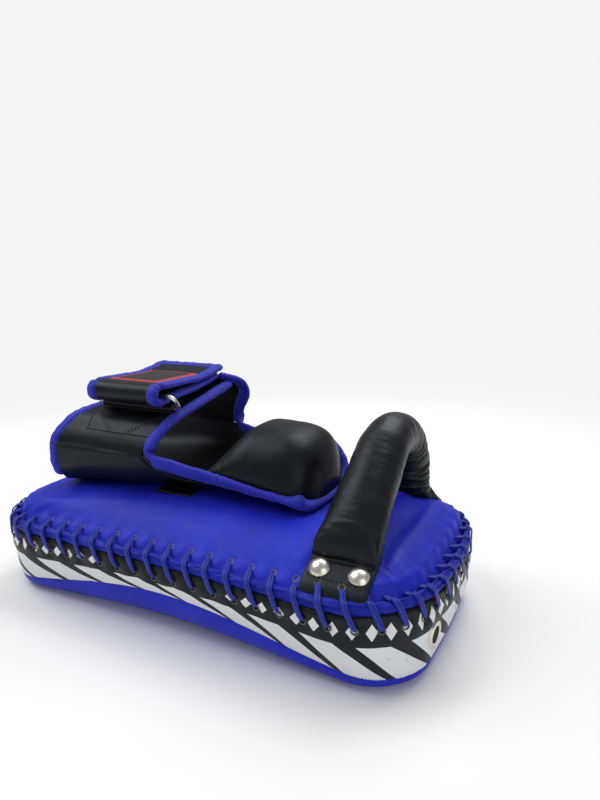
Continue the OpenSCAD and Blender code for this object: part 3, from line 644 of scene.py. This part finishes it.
def makeBand():
    hem, lip = band["hem"], band["lip"]

    def place(q, w):
        low = seamZ(q)
        if w < hem:
            g = w / hem * pi / 2
            return at(q, sideIn(low) + mixed(2.2, -0.5, sin(g)), low - 0.9 + 1.3 * (1 - cos(g)))
        if w > lip:
            g = (w - lip) / (1 - lip) * pi / 2
            return at(q, mixed(-0.3, 3.4, 1 - cos(g)), mixed(pad["bandTop"], band["lipZ"], sin(g)))
        t = (w - hem) / (lip - hem)
        z = mixed(low + 0.4, pad["bandTop"], t)
        away, above = fromStitch(q, lace["slant"]), z - lace["bandZ"]
        dip = 1.3 * exp(-(away / 3.4) ** 2 - (above / 4.0) ** 2)
        pull = 0.45 * cos(tau * away / stitchRun) * exp(-abs(above) / 6)
        arc = q * rimLength
        tuck = 0.35 * abs(ripple(arc / 3.6, z / 30, 2.2)) * exp(-(z - low) / 5)
        wave = 0.5 * ripple(arc / 38, z / 22, 4.4) + 0.2 * ripple(arc / 12, z / 12, 1.9)
        bulge = band["bulge"] * sin(pi * t) ** 0.8
        x, y = rimPoint(q)
        calm = ramp(hypot(y - ventSpot.y, z - ventSpot.z), 10, 9) if x > 0 else 1.0
        return at(q, sideIn(z) - 0.5 * (1 - t) + (wave - bulge) * calm + dip + pull + tuck, z)
    piece = makeSheet("bandSkin", rimCols, 40, place, ["side_band", "foam_middle"], "band")


# the striking face: flat on the floor, then up to the seam
def makeFace():
    flat = 0.45

    def place(q, w):
        low = seamZ(q)
        inner = sideIn(low) + low + 2
        if w > flat:
            arc = q * rimLength
            g = pi / 2 * (1 - (w - flat) / (1 - flat))
            u = mixed(sideIn(low) - 0.2, inner, 1 - cos(g))
            z = (low + 0.6) * (1 - sin(g))
            tuck = 0.5 * abs(ripple(arc / 4.6, 0.3, 6.6)) * exp(-(low - z) / 4)
            wave = (0.5 * ripple(arc / 44, z / 18, 7.4) + 0.25 * ripple(arc / 15, z / 9, 3.3)) * cos(g)
            return at(q, u - 0.9 * sin(2 * g) + tuck + wave, z)
        return at(q, inner, 0) * (w / flat)
    stands = ["face_panel", "foam_face"]
    piece = makeSheet("faceSkin", rimCols, 44, place, stands, "blue", "blue_leather")


def makeRoll():
    def place(q, w):
        a = -tau * w
        deg = degrees(a) % 360
        arc = q * rimLength
        c, s = cos(a), sin(a)
        r = roll["radius"] + 0.4 + 0.4 * ripple(arc / 30, 1.6 * c, 1.6 * s)
        r -= 1.3 * abs(ripple(arc / 24, 2.4 * c, 2.4 * s)) ** 0.8 + 0.5 * abs(ripple(arc / 9, 4 * c, 4 * s))
        r += 0.22 * ripple(arc / 4, 6 * c, 6 * s)
        for start, sway in roll["folds"]:
            fold = (deg - start - sway * ripple(arc / 26, start)) / 9
            r -= 1.1 * exp(-fold * fold) * eased(0.7 + 1.8 * ripple(arc / 15, start, 3))
        away = fromStitch(q, lace["slant"] * clamped((deg - 20) / 180))
        r -= 0.6 * exp(-(away / 3.2) ** 2) * (1.0 if deg < 230 else 0.3)
        return at(q, *roundRoll(r, a))
    makeSheet("rimRollSkin", turns * 12, 30, place, ["rim_roll"], "roll", "blue_leather")


def overFoot(x, y):
    return abs(x - handle["x"]) < handle["footHalf"] and abs(y) > handle["footIn"]


# how far a turn of the lace stands off its hole: over a foot, tucked beside its edge, or on the back
def footLift(x, y):
    if overFoot(x, y):
        return lace["overFoot"]
    beside = abs(x - handle["x"]) < handle["besideHalf"] and abs(y) > handle["footIn"]
    return lace["besideFoot"] if beside else 0.0


def makeLace():
    centres, faces = [], []
    slant = lace["slant"] / turns
    hole = Vector((lace["holeIn"], lace["holeZ"]))
    inner = sideIn(lace["bandZ"])
    for i in range(turns):
        q = stitchQ(i)
        end = q + slant
        lift = footLift(*at(q, lace["holeIn"], 0).xy)
        # (rim share, inset, height, share of the width)
        marks = [(q, *(hole - holeOut * 4), 0.7), (q, *(hole + holeOut * (lift - 0.3)), 0.78),
                 (q + slant * 0.14, 9.6, 64.0 + lift * 0.7, 0.95)]
        for k, deg in enumerate(lace["angles"]):
            marks.append((q + slant * (0.28 + 0.085 * k), *roundRoll(lace["ride"], radians(deg)), 1.0))
        marks += [(q + slant * 0.85, inner - 2.5, 52.0, 0.95), (end, inner - 1.5, 47.6, 0.75),
                  (end, inner + 2.5, 45.5, 0.7), (end + 0.08 / turns, 8.0, 47.0, 0.8),
                  (q + 0.92 / turns, 13.0, 54.0, 0.8)]
        for near, inset, height, share in marks:
            centres.append(at(near, inset, height))
            faces.append((rimAlong(near), share))
    centres.append(centres[0])
    faces.append(faces[0])
    line = spline(centres)
    rows = (len(centres) - 1) * 4
    frames = []
    for r in range(rows + 1):
        share = r / rows
        t = (line(min(1, share + 0.25 / rows)) - line(max(0, share - 0.25 / rows))).normalized()
        k = share * (len(centres) - 1)
        i = min(int(k), len(centres) - 2)
        wide = faces[i][0].lerp(faces[i + 1][0], k - i).to_3d()
        wide = (wide - t * wide.dot(t)).normalized()
        width = mixed(faces[i][1], faces[i + 1][1], k - i) * lace["wide"]
        frames.append((line(share), wide, t.cross(wide), width / 2, lace["thick"] / 2))
    bm = newMesh()
    sweepOval(bm, frames, 14, power=2.6)
    makePiece("rimLace", bm, "lace", stands=["rim_lace"], slot="blue_webbing")


# punched holes where each turn of the lace goes in: a raised lip round a well painted near black, as painted
# shade inside the hole
holes = {
    "long": 2.7, "wide": 2.5, "rim": 0.75, "raise": 0.25, "taper": 0.2, "deep": 2.2, "behind": 1.5,
    "onFoot": 3.9, "onBack": -0.9, "onBand": 0.35,
}


def makeHoles():
    bm = newMesh()

    def punch(centre, along, out):
        turn = axesTurn(along.normalized(), out.cross(along).normalized(), out.normalized())
        size = Matrix.Diagonal((holes["long"] * mm, holes["wide"] * mm, mm, 1))
        spot = Matrix.Translation(centre * mm) @ turn @ size
        ring = bmesh.ops.create_circle(bm, cap_ends=True, segments=14, radius=1.0, matrix=spot)["verts"]
        face = ring[0].link_faces[0]
        turnOut(face, out)
        bmesh.ops.inset_individual(bm, faces=[face], thickness=holes["rim"] * mm, depth=holes["raise"] * mm)
        well = bmesh.ops.inset_individual(bm, faces=[face], thickness=holes["taper"] * mm,
                                          depth=-holes["deep"] * mm)
        # the well's faces take the near-black finish: painted shade
        for each in [face, *well["faces"]]:
            each.material_index = 1
    for i in range(turns):
        q = stitchQ(i)
        along = rimAlong(q).to_3d()
        low, high = (at(q, u, slopeZ(u)) for u in (lace["holeIn"] - 1, lace["holeIn"] + 1))
        out = (high - low).cross(along).normalized()
        out *= copysign(1, out.z)
        lift = holes["onFoot"] if overFoot(*at(q, lace["holeIn"], 0).xy) else holes["onBack"]
        inset = lace["holeIn"] + holes["behind"]
        spot = at(q, inset, lace["holeZ"] + slopeZ(inset) - slopeZ(lace["holeIn"]))
        punch(spot + out * lift, along, out)
        end = q + lace["slant"] / turns
        along = rimAlong(end).to_3d()
        out = Vector((along.y, -along.x, 0.1)).normalized()
        punch(onBand(end, lace["bandZ"], holes["onBand"]), along, out)
    makePiece("laceHoleLips", bm, ["lip", "dark"], merge=False)


# whip stitches on the seam between band and face
def makeSeamStitches():
    bm = newMesh()
    count = 430
    for i in range(count):
        q = i / count
        d = rimAlong(q)
        out = Vector((d.y, -d.x, 0))
        p = onBand(q, seamZ(q), 0.35)
        tangent = Vector((d.x * 0.35, d.y * 0.35, 1)).normalized()
        layStitches(bm, [(p - tangent, out), (p + tangent, out)], *thread["seam"])
    makePiece("seamStitches", bm, "blueThread", merge=False)


makeBack()
makeBand()
makeFace()
makeRoll()
makeLace()
makeHoles()
makeSeamStitches()
print("stage: pad cover and lacing made")


# the handle from foot to foot, as (y, z, half wide, half thick)
def handleLine():
    slope, bendR = radians(handle["slope"]), handle["bendR"]
    legZ = backAt(handle["x"], handle["legY"]) + handle["lift"]
    bendZ = legZ + ((handle["bendY"] + handle["legY"]) * sin(slope) - bendR) / cos(slope)

    def lay(y):
        return backAt(handle["x"], y) + handle["sole"] if y < 82.3 else slopeZ(99.4 - y) + 2.2

    def leg(y):
        return legZ + (y + handle["legY"]) * tan(slope)
    foot = [(y, lay(y), wide, thick)
            for y, wide, thick in ((90.8, 22.8, 1.6), (88, 23, 1.8), (84.5, 23, 1.9), (79, 23, 1.9))]
    marks = [(-y, *more) for y, *more in foot]
    marks += [(-74, lay(74), 23, 1.9), (-69.5, lay(69.5) + 0.3, 23, 2.1), (-66.6, lay(66.6) + 3.6, 23.2, 6.0),
              (-62, lay(62) + 7.6, 22.8, 10.0), (-55, leg(-55) - 0.2, 22.0, 13.6),
              (-45, leg(-45) + 0.2, 21.2, 15.8), (-32, leg(-32), 20.2, 17.2), (-18, leg(-18), 19.4, 17.2)]
    for deg in (127, 111, 94, 77, 60, 44, 27, 12, 0):
        g = radians(deg)
        wide = 17 + 2 * ramp(deg, 80, 50)
        marks.append((handle["bendY"] + bendR * cos(g), bendZ + bendR * sin(g), wide, 17))
    marks += [(64.2, 90.5, 17.0, 16.6), (65.0, 84.5, 17.3, 14.0), (67.4, 79.6, 18.4, 9.0),
              (71.0, lay(71.0) + 1.7, 20.6, 3.8), (75, lay(75), 22.6, 2.0)]
    return marks + foot[::-1]


handleMarks = handleLine()
handlePath = spline([m[:2] for m in handleMarks])
handleSize = spline([m[2:] for m in handleMarks])


def makeHandle():
    near = 0.003  # share either side for a tangent
    long = 330

    def place(u, w):
        p = handlePath(w)
        t = (handlePath(min(1, w + near)) - handlePath(max(0, w - near))).normalized()
        a, b = handleSize(w)
        c, s = boxedTurn(u, mixed(5.0, 2.0, ramp(b / a, 0.12, 0.6)))
        run = w * long
        fine = 0.26 * ripple(run / 1.9, 1.5 * c, 1.5 * s) + 0.35 * ripple(run / 7, 1.2 * c, 1.2 * s)
        bend = exp(-((p.x - 60) / 24) ** 2) * ramp(p.y, 80, 10)
        pleat = abs(sin(run / 2.7 + 1.6 * ripple(run / 9, c, s))) ** 0.6 - 0.7
        grow = ramp(b, 3, 8) * (fine + bend * 2.6 * (0.55 - 0.45 * s) * pleat)
        out = (b + grow) * s
        return handle["x"] - (a + grow) * c, p.x - t.y * out, p.y + t.x * out
    bm = newMesh()
    warpGrid(bm, 72, 300, place)
    closeMesh(bm)
    stands = ["handle_foot_near", "handle_foot_far", "handle_collar_near", "handle_collar_far",
              "handle_cover", "handle_core"]
    piece = makePiece("handleTube", bm, "tube", body=None, stands=stands, slot="black_leather")
    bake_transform(piece)


# stitches round the flat feet and across the end of the stuffing
def makeFootStitches():
    bm = newMesh()
    mid, half = handle["x"], handle["stitchHalf"]

    def sew(side, spots):
        tilt = Vector((0, side * 0.45, 0.9)).normalized()
        line = [(x, side * y, backAt(mid, y) + handle["sole"] + handle["footTop"]) for x, y in spots]
        layStitches(bm, [(Vector(spot), tilt) for spot in line], *thread["foot"])
    for side in (-1, 1):
        for x in (mid - half, mid + half):
            sew(side, [(x, y) for y in (85, 82, 79, 76, 73, 70)])
        for y in (70.2, 84.6):
            sew(side, [(mid + x, y) for x in (-19, -10, 0, 10, 19)])
    makePiece("footStitches", bm, "thread", merge=False)


makeHandle()
makeFootStitches()
print("stage: handle made")

# cuff, from the source's own tables
cuff = {"z": 88.5, "y": 6, "left": -150, "right": 91, "base": 4.0, "wing": 3.0, "curl": 2.3}
nearEdge = through([(-150, 28.5), (-50, 28.5), (0, 20.5), (40, 14.5), (78, 8.5), (91, 4)])
farEdge = through([(-150, 31.5), (-38, 31.5), (-10, 29), (40, 33), (62, 31), (78, 22), (91, 6)])
nearReach = through([(-150, 56), (-50, 54), (0, 48), (60, 46), (84, 45), (91, 42)])
farReach = through([(-150, 61), (-38, 58), (0, 51), (50, 50), (78, 43), (91, 30)])
boxiness = through([(-150, 2.4), (-60, 2.1), (10, 1.25), (91, 1.15)])


def spineZ(x):
    if x < 0:
        return backAt(x, 0) + 0.3 + 2.1 * (x / cuff["left"]) ** 6
    return cuff["z"]


# floor, top and reach of the base's near side (v below 0) or far side
def baseSide(x, v):
    edge, reach = (nearEdge, nearReach) if v < 0 else (farEdge, farReach)
    return spineZ(x) + cuff["base"] / 2, cuff["z"] + edge(x), reach(x)


# the near corner of the open end is drawn back
def cornerBack(x, v):
    return 7 * max(0.0, -v) ** 6 * max(0.0, x / cuff["right"])


def baseAt(x, v):
    w = abs(v)
    low, top, reach = baseSide(x, v)
    out = reach * (1 - (1 - w) ** boxiness(x))
    z = low + (top - low) * w ** cuff["curl"]
    return Vector((x - cornerBack(x, v), cuff["y"] + copysign(out, v), z))


def baseUp(x, v):
    a = baseAt(min(cuff["right"], x + 1), v) - baseAt(x - 1, v)
    b = baseAt(x, min(1, v + 0.01)) - baseAt(x, max(-1, v - 0.01))
    return a.cross(b).normalized()


def baseGrid(u, w):
    x = mixed(cuff["left"], cuff["right"], u)
    v = w * 2 - 1
    p = baseAt(x, v)
    return p + baseUp(x, v) * (0.5 * ripple(p.x / 26, p.y / 20, 2.5))


nearSection = spline([(-48.6, 29.4), (-46, 35.5), (-40, 42.5), (-28, 51.5), (-5, 57.5), (25, 64), (56, 71.5)])
farSection = spline([(65, 32.4), (69, 43), (70.5, 57), (66.5, 70), (55, 77)])
nearLeft = through([(0, -147), (0.33, -141), (0.5, -134), (0.67, -122), (0.8, -113), (1, -111)])
nearRight = through([(0, -52), (1, -40)])
farLeft = through([(0, -150), (0.4, -140), (1, -116)])
farRight = through([(0, -39), (0.3, -40), (0.55, -32), (0.78, -32), (1, -48)])


# a wing above the base: its section, and where its two edges run
def aboveBase(u, t, section, left, right):
    y, h = section(t)
    return Vector((mixed(left(t), right(t), u), y, cuff["z"] + h))


# the near wing runs on from the base's outer wall
def nearWing(u, w):
    turn = 0.36
    if w < turn:
        v = -mixed(0.5, 1.0, w / turn)
        low = eased(1 - w / turn)
        x = mixed(cuff["left"] + 5, mixed(-52, 6, low), u)
        out = mixed(mixed(0.9, 3.4, low), 1.2, ramp(x, -62, 30))
        p = baseAt(x, v) - baseUp(x, v) * out
    else:
        p = aboveBase(u, (w - turn) / (1 - turn), nearSection, nearLeft, nearRight)
    sag = 0.9 * ripple(p.x / 34, p.y / 26, p.z / 30) + 0.35 * ripple(p.x / 12, p.y / 12, p.z / 9)
    return p + Vector((0, -0.5, 0.35)) * sag


def farWing(u, w):
    turn = 0.3
    if w < turn:
        v = mixed(0.62, 1.0, w / turn)
        x = mixed(cuff["left"], -39, u)
        p = baseAt(x, v) - baseUp(x, v) * mixed(3.4, -1.2, eased(w / turn))
    else:
        p = aboveBase(u, (w - turn) / (1 - turn), farSection, farLeft, farRight)
    sag = 0.8 * ripple(p.x / 34, p.y / 26, p.z / 30)
    return p + Vector((0, 0.5, 0.3)) * sag


# a line on a sheet between two places of it, as (point, normal) pairs
def edgeLine(place, start, end, count):
    line = []
    for i in range(count + 1):
        u, w = (mixed(a, b, i / count) for a, b in zip(start, end))
        across = place(min(1, u + 0.01), w) - place(max(0, u - 0.01), w)
        along = place(u, min(1, w + 0.01)) - place(u, max(0, w - 0.01))
        line.append((place(u, w), across.cross(along).normalized()))
    return line


def turnedOver(line):
    return [(p, -n) for p, n in line]


def smoothLine(line, rounds=3):
    for _ in range(rounds):
        line = [line[0]] + [((a[0] + b[0] * 2 + c[0]) / 4, (a[1] + b[1] * 2 + c[1]).normalized())
                            for a, b, c in zip(line, line[1:], line[2:])] + [line[-1]]
    return line


def evenLine(line, step):
    runs = [0.0]
    for (a, _), (b, _) in zip(line, line[1:]):
        runs.append(runs[-1] + (b - a).length)
    count = max(2, int(runs[-1] / step))
    made, k = [], 0
    for i in range(count + 1):
        s = runs[-1] * i / count
        while k < len(runs) - 2 and runs[k + 1] < s:
            k += 1
        t = (s - runs[k]) / max(1e-6, runs[k + 1] - runs[k])
        (p, n), (p2, n2) = line[k:k + 2]
        made.append((p.lerp(p2, t), n.lerp(n2, t).normalized()))
    return made


tape = {"wide": 5.3, "thick": 2.4, "inset": 3.2, "step": 1.3}


# folded tape over an edge; inward +1 or -1 says on which side the sheet lies
def tapeFrames(line, inward, thick, inset):
    line = evenLine(line, tape["step"])
    frames = []
    for i, (p, n) in enumerate(line):
        t = (line[min(len(line) - 1, i + 1)][0] - line[max(0, i - 1)][0]).normalized()
        side = t.cross(n).normalized() * inward
        up = side.cross(t).normalized() * inward
        end = min(1.0, (0.5 + min(i, len(line) - 1 - i)) / 2.5) ** 0.5
        run = i * tape["step"]
        plump = 1 + 0.3 * abs(ripple(run / 6.5, 1.7, inward)) + 0.25 * abs(ripple(run / 2.7, 4.1))
        sway = 0.7 * ripple(run / 13, 8.3, inward)
        half, deep = tape["wide"] * end * (0.6 + 0.4 * plump), thick * end * plump
        frames.append((p + side * (inset + sway), side * inward, up * inward, half, deep))
    return frames


def makeTape(name, lines, stands=(), body="pad", thick=tape["thick"], inset=tape["inset"]):
    bm, rows = newMesh(), newMesh()
    layer = bm.loops.layers.uv.active
    for line, inward in lines:
        frames = tapeFrames(line, inward, thick, inset)
        for face in (-1, 1):
            seam = [(c + wide * (inward * half * 0.52) + up * (face * deep * 0.86), up * face)
                    for c, wide, up, half, deep in frames[2:-2]]
            layStitches(rows, seam, *thread["tape"])
        before = set(bm.faces)
        sweepOval(bm, frames, 18, power=2.3)
        long = len(frames) * tape["step"] * mm
        for face in set(bm.faces) - before:
            for loop in face.loops:  # tape lengths in metres, so ribs keep one pitch
                loop[layer].uv.y *= long
    closeMesh(bm)
    makePiece(name, bm, "binding", body=body, stands=stands, slot="blue_webbing")
    makePiece(name + "Seam", rows, "blueThread", body=body, merge=False)


def makeCuff():
    makeSheet("cuffBase", 120, 70, baseGrid, ["cuff_base"], wall=cuff["base"])
    makeSheet("nearWingSheet", 70, 80, nearWing, ["near_wing"], wall=cuff["wing"], bend=(108, 125))
    makeSheet("farWingSheet", 70, 70, farWing, ["far_wing"], wall=cuff["wing"], flip=True)

    run = edgeLine(nearWing, (1, 1), (1, 0.4), 40)
    run += edgeLine(baseGrid, (0.425, 0), (1, 0), 60)
    run += edgeLine(baseGrid, (1, 0.03), (1, 0.97), 50)
    run += edgeLine(baseGrid, (1, 1), (0.48, 1), 50)
    run += turnedOver(edgeLine(farWing, (1, 0.36), (1, 1), 40))
    light = smoothLine(evenLine(run, 2.0), 4)
    heavy = smoothLine(light, 16)  # round the notches
    whole = [h if h[0].x < -18 else l for l, h in zip(light, heavy)]
    stands = ["cuff_base_binding", "near_wing_binding", "far_wing_binding"]
    makeTape("cuffBinding", [(whole, -1)], stands, thick=2.8)
    left = [edgeLine(nearWing, (0, 1), (0, 0.06), 50), turnedOver(edgeLine(farWing, (0, 0.1), (0, 1), 50)),
            edgeLine(baseGrid, (0, 0.2), (0, 0.85), 40)]
    makeTape("cuffLeftBinding", [(smoothLine(line), 1) for line in left])


makeCuff()
print("stage: cuff made")

wrist = {"left": -20, "right": 90.5, "rise": 54, "shoulder": 36, "fill": 0.97, "high": 49, "taper": 34,
         "sunk": 0.3}


# height of the base's inside at a place in plan
def baseInside(x, y):
    side = y - cuff["y"]
    low, top, reach = baseSide(x, side)
    w = 1 - max(0.0, 1 - abs(side) / reach) ** (1 / boxiness(x))
    return low + (top - low) * min(1.0, w) ** cuff["curl"] + cuff["base"] / 2


def makeWristPad():
    left, right, shoulder = wrist["left"], wrist["right"], wrist["shoulder"]

    def spot(u, w):
        x, v = mixed(left, right, u), w * 2 - 1
        reach = baseSide(x, v)[2] * wrist["fill"]
        narrow = (1 - max(0.0, (left + wrist["taper"] - x) / wrist["taper"]) ** 2.4) ** 0.5
        return x - cornerBack(x, v), cuff["y"] + v * reach * narrow, v

    def top(u, w):
        x, y, v = spot(u, w)
        rise = ramp(x, left, wrist["rise"]) ** 0.9
        end = max(0.0, (mixed(left, right, u) - shoulder) / (right - shoulder))
        dome = rise * max(0.0, 1 - end ** 4.6 - abs(v) ** 3.4) ** 0.5
        edge = ramp(abs(v), 0.72, 0.28) * rise
        gather = (1.0 * abs(ripple(x / 5.5, 0.4, v * 2)) + 0.5 * abs(ripple(x / 2.6, 3.4, v * 3))) * edge
        puff = 0.4 * ripple(x / 30, y / 26, 4.4) + 0.3 * ripple(x / 10, y / 12, 7.4)
        crown = cuff["z"] + 4 + wrist["high"] + puff - 4 * (v - 0.1) ** 2
        z = mixed(baseInside(x, y) - wrist["sunk"], crown, dome) - gather * min(1.0, dome * 3)
        return x, y, z

    def under(u, w):
        x, y, _ = spot(u, w)
        return x, y, baseInside(x, y) - wrist["sunk"]
    bm = newMesh()
    warpGrid(bm, 110, 90, top)
    warpGrid(bm, 110, 90, under)
    bmesh.ops.remove_doubles(bm, verts=bm.verts, dist=2e-5)
    bmesh.ops.recalc_face_normals(bm, faces=bm.faces)
    stands = ["wrist_pad_cover", "wrist_pad_foam"]
    piece = makePiece("wristCushion", bm, "black", stands=stands, slot="black_leather")


makeWristPad()
print("stage: wrist pad made")

strap = {"left": -116, "right": -48, "thick": 3.5, "fold": 0.7, "turnY": -28, "turnLow": 66, "turnR": 6.75}
lowerSection = spline([(53.2, 76.9), (25, 71.5), (-5, 69), (-28, 66)])
flapSection = spline([(-27.4, 79.5), (-5, 79.5), (25, 79.7), (42, 82.1), (58, 84.9)])


# the strap's lower run, and its fold round the ring
def lowerStrap(u, w):
    fold, r = strap["fold"], strap["turnR"]
    if w < fold:
        y, h = lowerSection(w / fold)
    else:
        g = pi * (w - fold) / (1 - fold)
        y = strap["turnY"] - r * sin(g)
        h = strap["turnLow"] + r - r * cos(g)
    x = mixed(strap["right"], strap["left"], u)
    return Vector((x, y, cuff["z"] + h + strap["thick"] / 2 + 0.5 * ripple(x / 30, y / 25, 3.3)))


def flapSheet(u, w):
    y, h = flapSection(w)
    x = mixed(strap["left"], strap["right"], u)
    h += strap["thick"] / 2 - 2.0 * eased(w * 1.6) + 0.5 * ripple(x / 30, y / 25, 6.3) * eased(w * 3)
    return Vector((x, y, cuff["z"] + h))


def makeStrap():
    wall, trim = strap["thick"], {"thick": 2.5, "inset": 1.6}
    makeSheet("strapLower", 40, 90, lowerStrap, ["strap_lower", "loop_patch"], wall=wall)
    sides = [(edgeLine(lowerStrap, (u, 0), (u, 1), 60), inward) for u, inward in ((0, 1), (1, -1))]
    makeTape("strapLowerBinding", sides, ["strap_lower_binding"], **trim)
    makeSheet("strapFlap", 40, 60, flapSheet, ["strap_flap", "hook_patch"], wall=wall, body="strap_end")
    rim = edgeLine(flapSheet, (0, 0), (0, 1), 50)
    rim += edgeLine(flapSheet, (0.05, 1), (0.95, 1), 30)
    rim += edgeLine(flapSheet, (1, 1), (1, 0), 50)
    makeTape("flapEdging", [(smoothLine(rim, 2), 1)], ["flap_binding"], "strap_end", **trim)

    def fromEdge(u, w):
        return min(u, 1 - u, w, 1 - w)

    def patch(u, w):
        rise = 1.3 + 0.9 * min(1.0, fromEdge(u, w) * 14)
        return flapSheet(mixed(0.09, 0.91, u), mixed(0.06, 0.62, w)) + Vector((0, 0, rise))
    bm = newMesh()
    warpGrid(bm, 48, 44, patch)
    layer = bm.loops.layers.uv.active
    for face in bm.faces:
        u, w = sum((loop[layer].uv for loop in face.loops), Vector((0, 0))) / 4
        face.material_index = 1 if 0.03 < fromEdge(u, w) < 0.10 else 0
    makePiece("flapPatch", bm, ["pile", "red"], body="strap_end", stands=["flap_patch"], slot="hook_and_loop",
              wall=0.6)


makeStrap()
print("stage: strap made")

# ring tab and side tag: folded leather with a stitched edge
ringTab = {"bar": (-82, -14.83, 149.43), "half": 38, "loop": 3.0, "fold": 0.62, "narrow": 0.10}


def makeTabs():
    bar, fold, loop = Vector(ringTab["bar"]), ringTab["fold"], ringTab["loop"]
    wing = [nearSection(k / 20) for k in range(6, 15)]
    foot = spline([(p.x - 0.6, p.y + cuff["z"] + 1.7) for p in wing])

    def tab(u, w):  # up the wing, then round the ring's lower bar
        half = ringTab["half"] * (1 - ringTab["narrow"] * (1 - min(1.0, w / 0.5)))
        if w < fold:
            y, z = foot(w / fold * 0.72)
        else:
            g = radians(mixed(250, -30, (w - fold) / (1 - fold)))
            y, z = bar.y + loop * cos(g), bar.z + loop * sin(g)
        return Vector((bar.x + mixed(-half, half, u), y, z))
    makeSheet("ringTabLeather", 40, 60, tab, ["ring_tab"], wall=1.0)
    bm = newMesh()
    lean = Vector((0, -0.5, 0.85)).normalized()
    for side in (-1, 1):
        for gap in (0, 4):
            line = []
            for k in range(9):
                u = 0.5 + side * (0.46 - gap * 0.012 - 0.30 * k / 8)
                line.append((tab(u, mixed(0.5, 0.04, k / 8)) + Vector((0, -0.5, 0.9)), lean))
            layStitches(bm, line, *thread["tab"])
    makePiece("tabStitches", bm, "thread", merge=False)
    low, high = [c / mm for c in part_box("side_tag")]

    def tag(u, w):
        x, y = mixed(low.x, high.x, u), mixed(low.y, high.y, w)
        z = mixed(low.z + 1.0, high.z - 1.2, 0.35 + 0.25 * sin(w * 2.4))
        return x, y, z + 0.3 * ripple(x / 9, y / 9)
    makeSheet("sideTag", 24, 24, tag, ["side_tag"], wall=1.6)


makeTabs()

# CAD nodes that show as they are
bareNodes = {
    "nickel": ("handle_rivets", "strap_ring", "vent_washer", "rivet_washers"),
    "backing": ("backing_near", "backing_far"),
}
for finish, names in bareNodes.items():
    for name in names:
        nodes[name].data.materials.clear()
        nodes[name].data.materials.append(finishes[finish])

# vent eyelet: a rolled rim spun round its own axis, with a near-black disc behind it as painted shade in the
# bore
vent = {"rim": 9.6, "bore": 5.7, "high": 1.0, "deep": 3.0, "well": 0.55, "out": 0.4}


def makeVent():
    z, rim, bore = ventSpot.z, vent["rim"], vent["bore"]
    q = min((k / 4000 for k in range(3000, 4000)), key=lambda k: abs(rimPoint(k)[1] - ventSpot.y))
    spot = onBand(q, z, vent["out"]) * mm
    along = (onBand(q + 0.003, z) - onBand(q - 0.003, z)).normalized()
    out = along.cross(onBand(q, z + 4) - onBand(q, z - 4)).normalized()
    turn = Matrix.Translation(spot) @ axesTurn(along, out.cross(along), out) @ Matrix.Scale(mm, 4)
    bm = newMesh()
    line = [(rim, -0.6), (rim, 0.2), (rim - 0.5, 0.7), (7.9, vent["high"]), (6.6, 0.9), (bore, 0.5),
            (bore - 0.2, -vent["deep"])]
    points = [bm.verts.new(turn @ Vector((x, 0, h))) for x, h in line]
    edges = [bm.edges.new(pair) for pair in zip(points, points[1:])]
    bmesh.ops.spin(bm, geom=points + edges, cent=spot, axis=out, angle=tau, steps=40, use_merge=True)
    bmesh.ops.recalc_face_normals(bm, faces=bm.faces)
    makePiece("ventEyelet", bm, "nickel", stands=["vent_eyelet"], slot="nickel", smooth=1)
    # a near-black disc in the bore: painted shade where the vent opens into the pad
    bm = newMesh()
    bmesh.ops.create_circle(bm, cap_ends=True, segments=32, radius=bore,
                            matrix=turn @ Matrix.Translation((0, 0, vent["well"])))
    for face in bm.faces:
        turnOut(face, out)
    makePiece("ventShadeDisc", bm, "dark", merge=False)


makeVent()
print("stage: small pieces made")

# floor and light, in metres; lamps are (place, aim, power, size)
studio = {"pale": (0.90, 0.905, 0.90, 1), "air": (0.95, 0.97, 1.0, 1), "airPower": 0.34, "floorZ": -0.0008}
lamps = {
    "keySoftbox": ((-0.75, -0.25, 1.15), (0, 0, 0.1), 9.5, 0.9),
    "topSoftbox": ((0.15, 0.75, 1.35), (0, 0, 0.08), 15, 1.1),
    "sideFill": ((1.1, -0.9, 0.55), (0, 0, 0.05), 3.5, 0.9),
}


def makeStudio():
    finish = newFinish("paleFloor")
    far = finish.node("VectorMath", {"operation": "LENGTH"}, {0: finish.place()}, "Value")
    seen = finish.node("LightPath", out="Is Camera Ray")
    seen = seen.most(seen.other("Is Glossy Ray")).most(seen.other("Is Transmission Ray"))
    diffuse = finish.node("BsdfDiffuse", sockets={"Color": studio["pale"]})
    glow = finish.node("Emission", sockets={"Color": studio["pale"], "Strength": 1.0})
    mix = finish.node("MixShader", sockets={0: far.ease(0.35, 1.1) * seen, 1: diffuse, 2: glow})
    finish.node("OutputMaterial", sockets={0: mix})
    bm = newMesh()
    bmesh.ops.create_grid(bm, x_segments=8, y_segments=8, size=12.0,
                          matrix=Matrix.Translation((0, 0, studio["floorZ"])))
    finishes["floor"] = finish.owner
    floor = makePiece("paleFloor", bm, "floor", body=None, merge=False)

    air = Finish(bpy.data.worlds.new("studioAir"))
    scene.world = air.owner
    seen = air.node("LightPath", out="Is Camera Ray")
    soft = air.node("Background", sockets={0: studio["air"], 1: studio["airPower"]})
    white = air.node("Background", sockets={0: studio["pale"], 1: 1.0})
    air.node("OutputWorld",
             sockets={0: air.node("MixShader", sockets={0: seen, 1: soft, 2: white})})

    for name, (spot, aim, power, size) in lamps.items():
        data = bpy.data.lights.new(name, "AREA")
        data.energy, data.size = power, size
        lamp = bpy.data.objects.new(name, data)
        lamp.location = spot
        lamp.rotation_mode = "QUATERNION"
        lamp.rotation_quaternion = (Vector(aim) - Vector(spot)).to_track_quat("-Z", "Y")
        scene.collection.objects.link(lamp)


makeStudio()
print("stage: studio made")
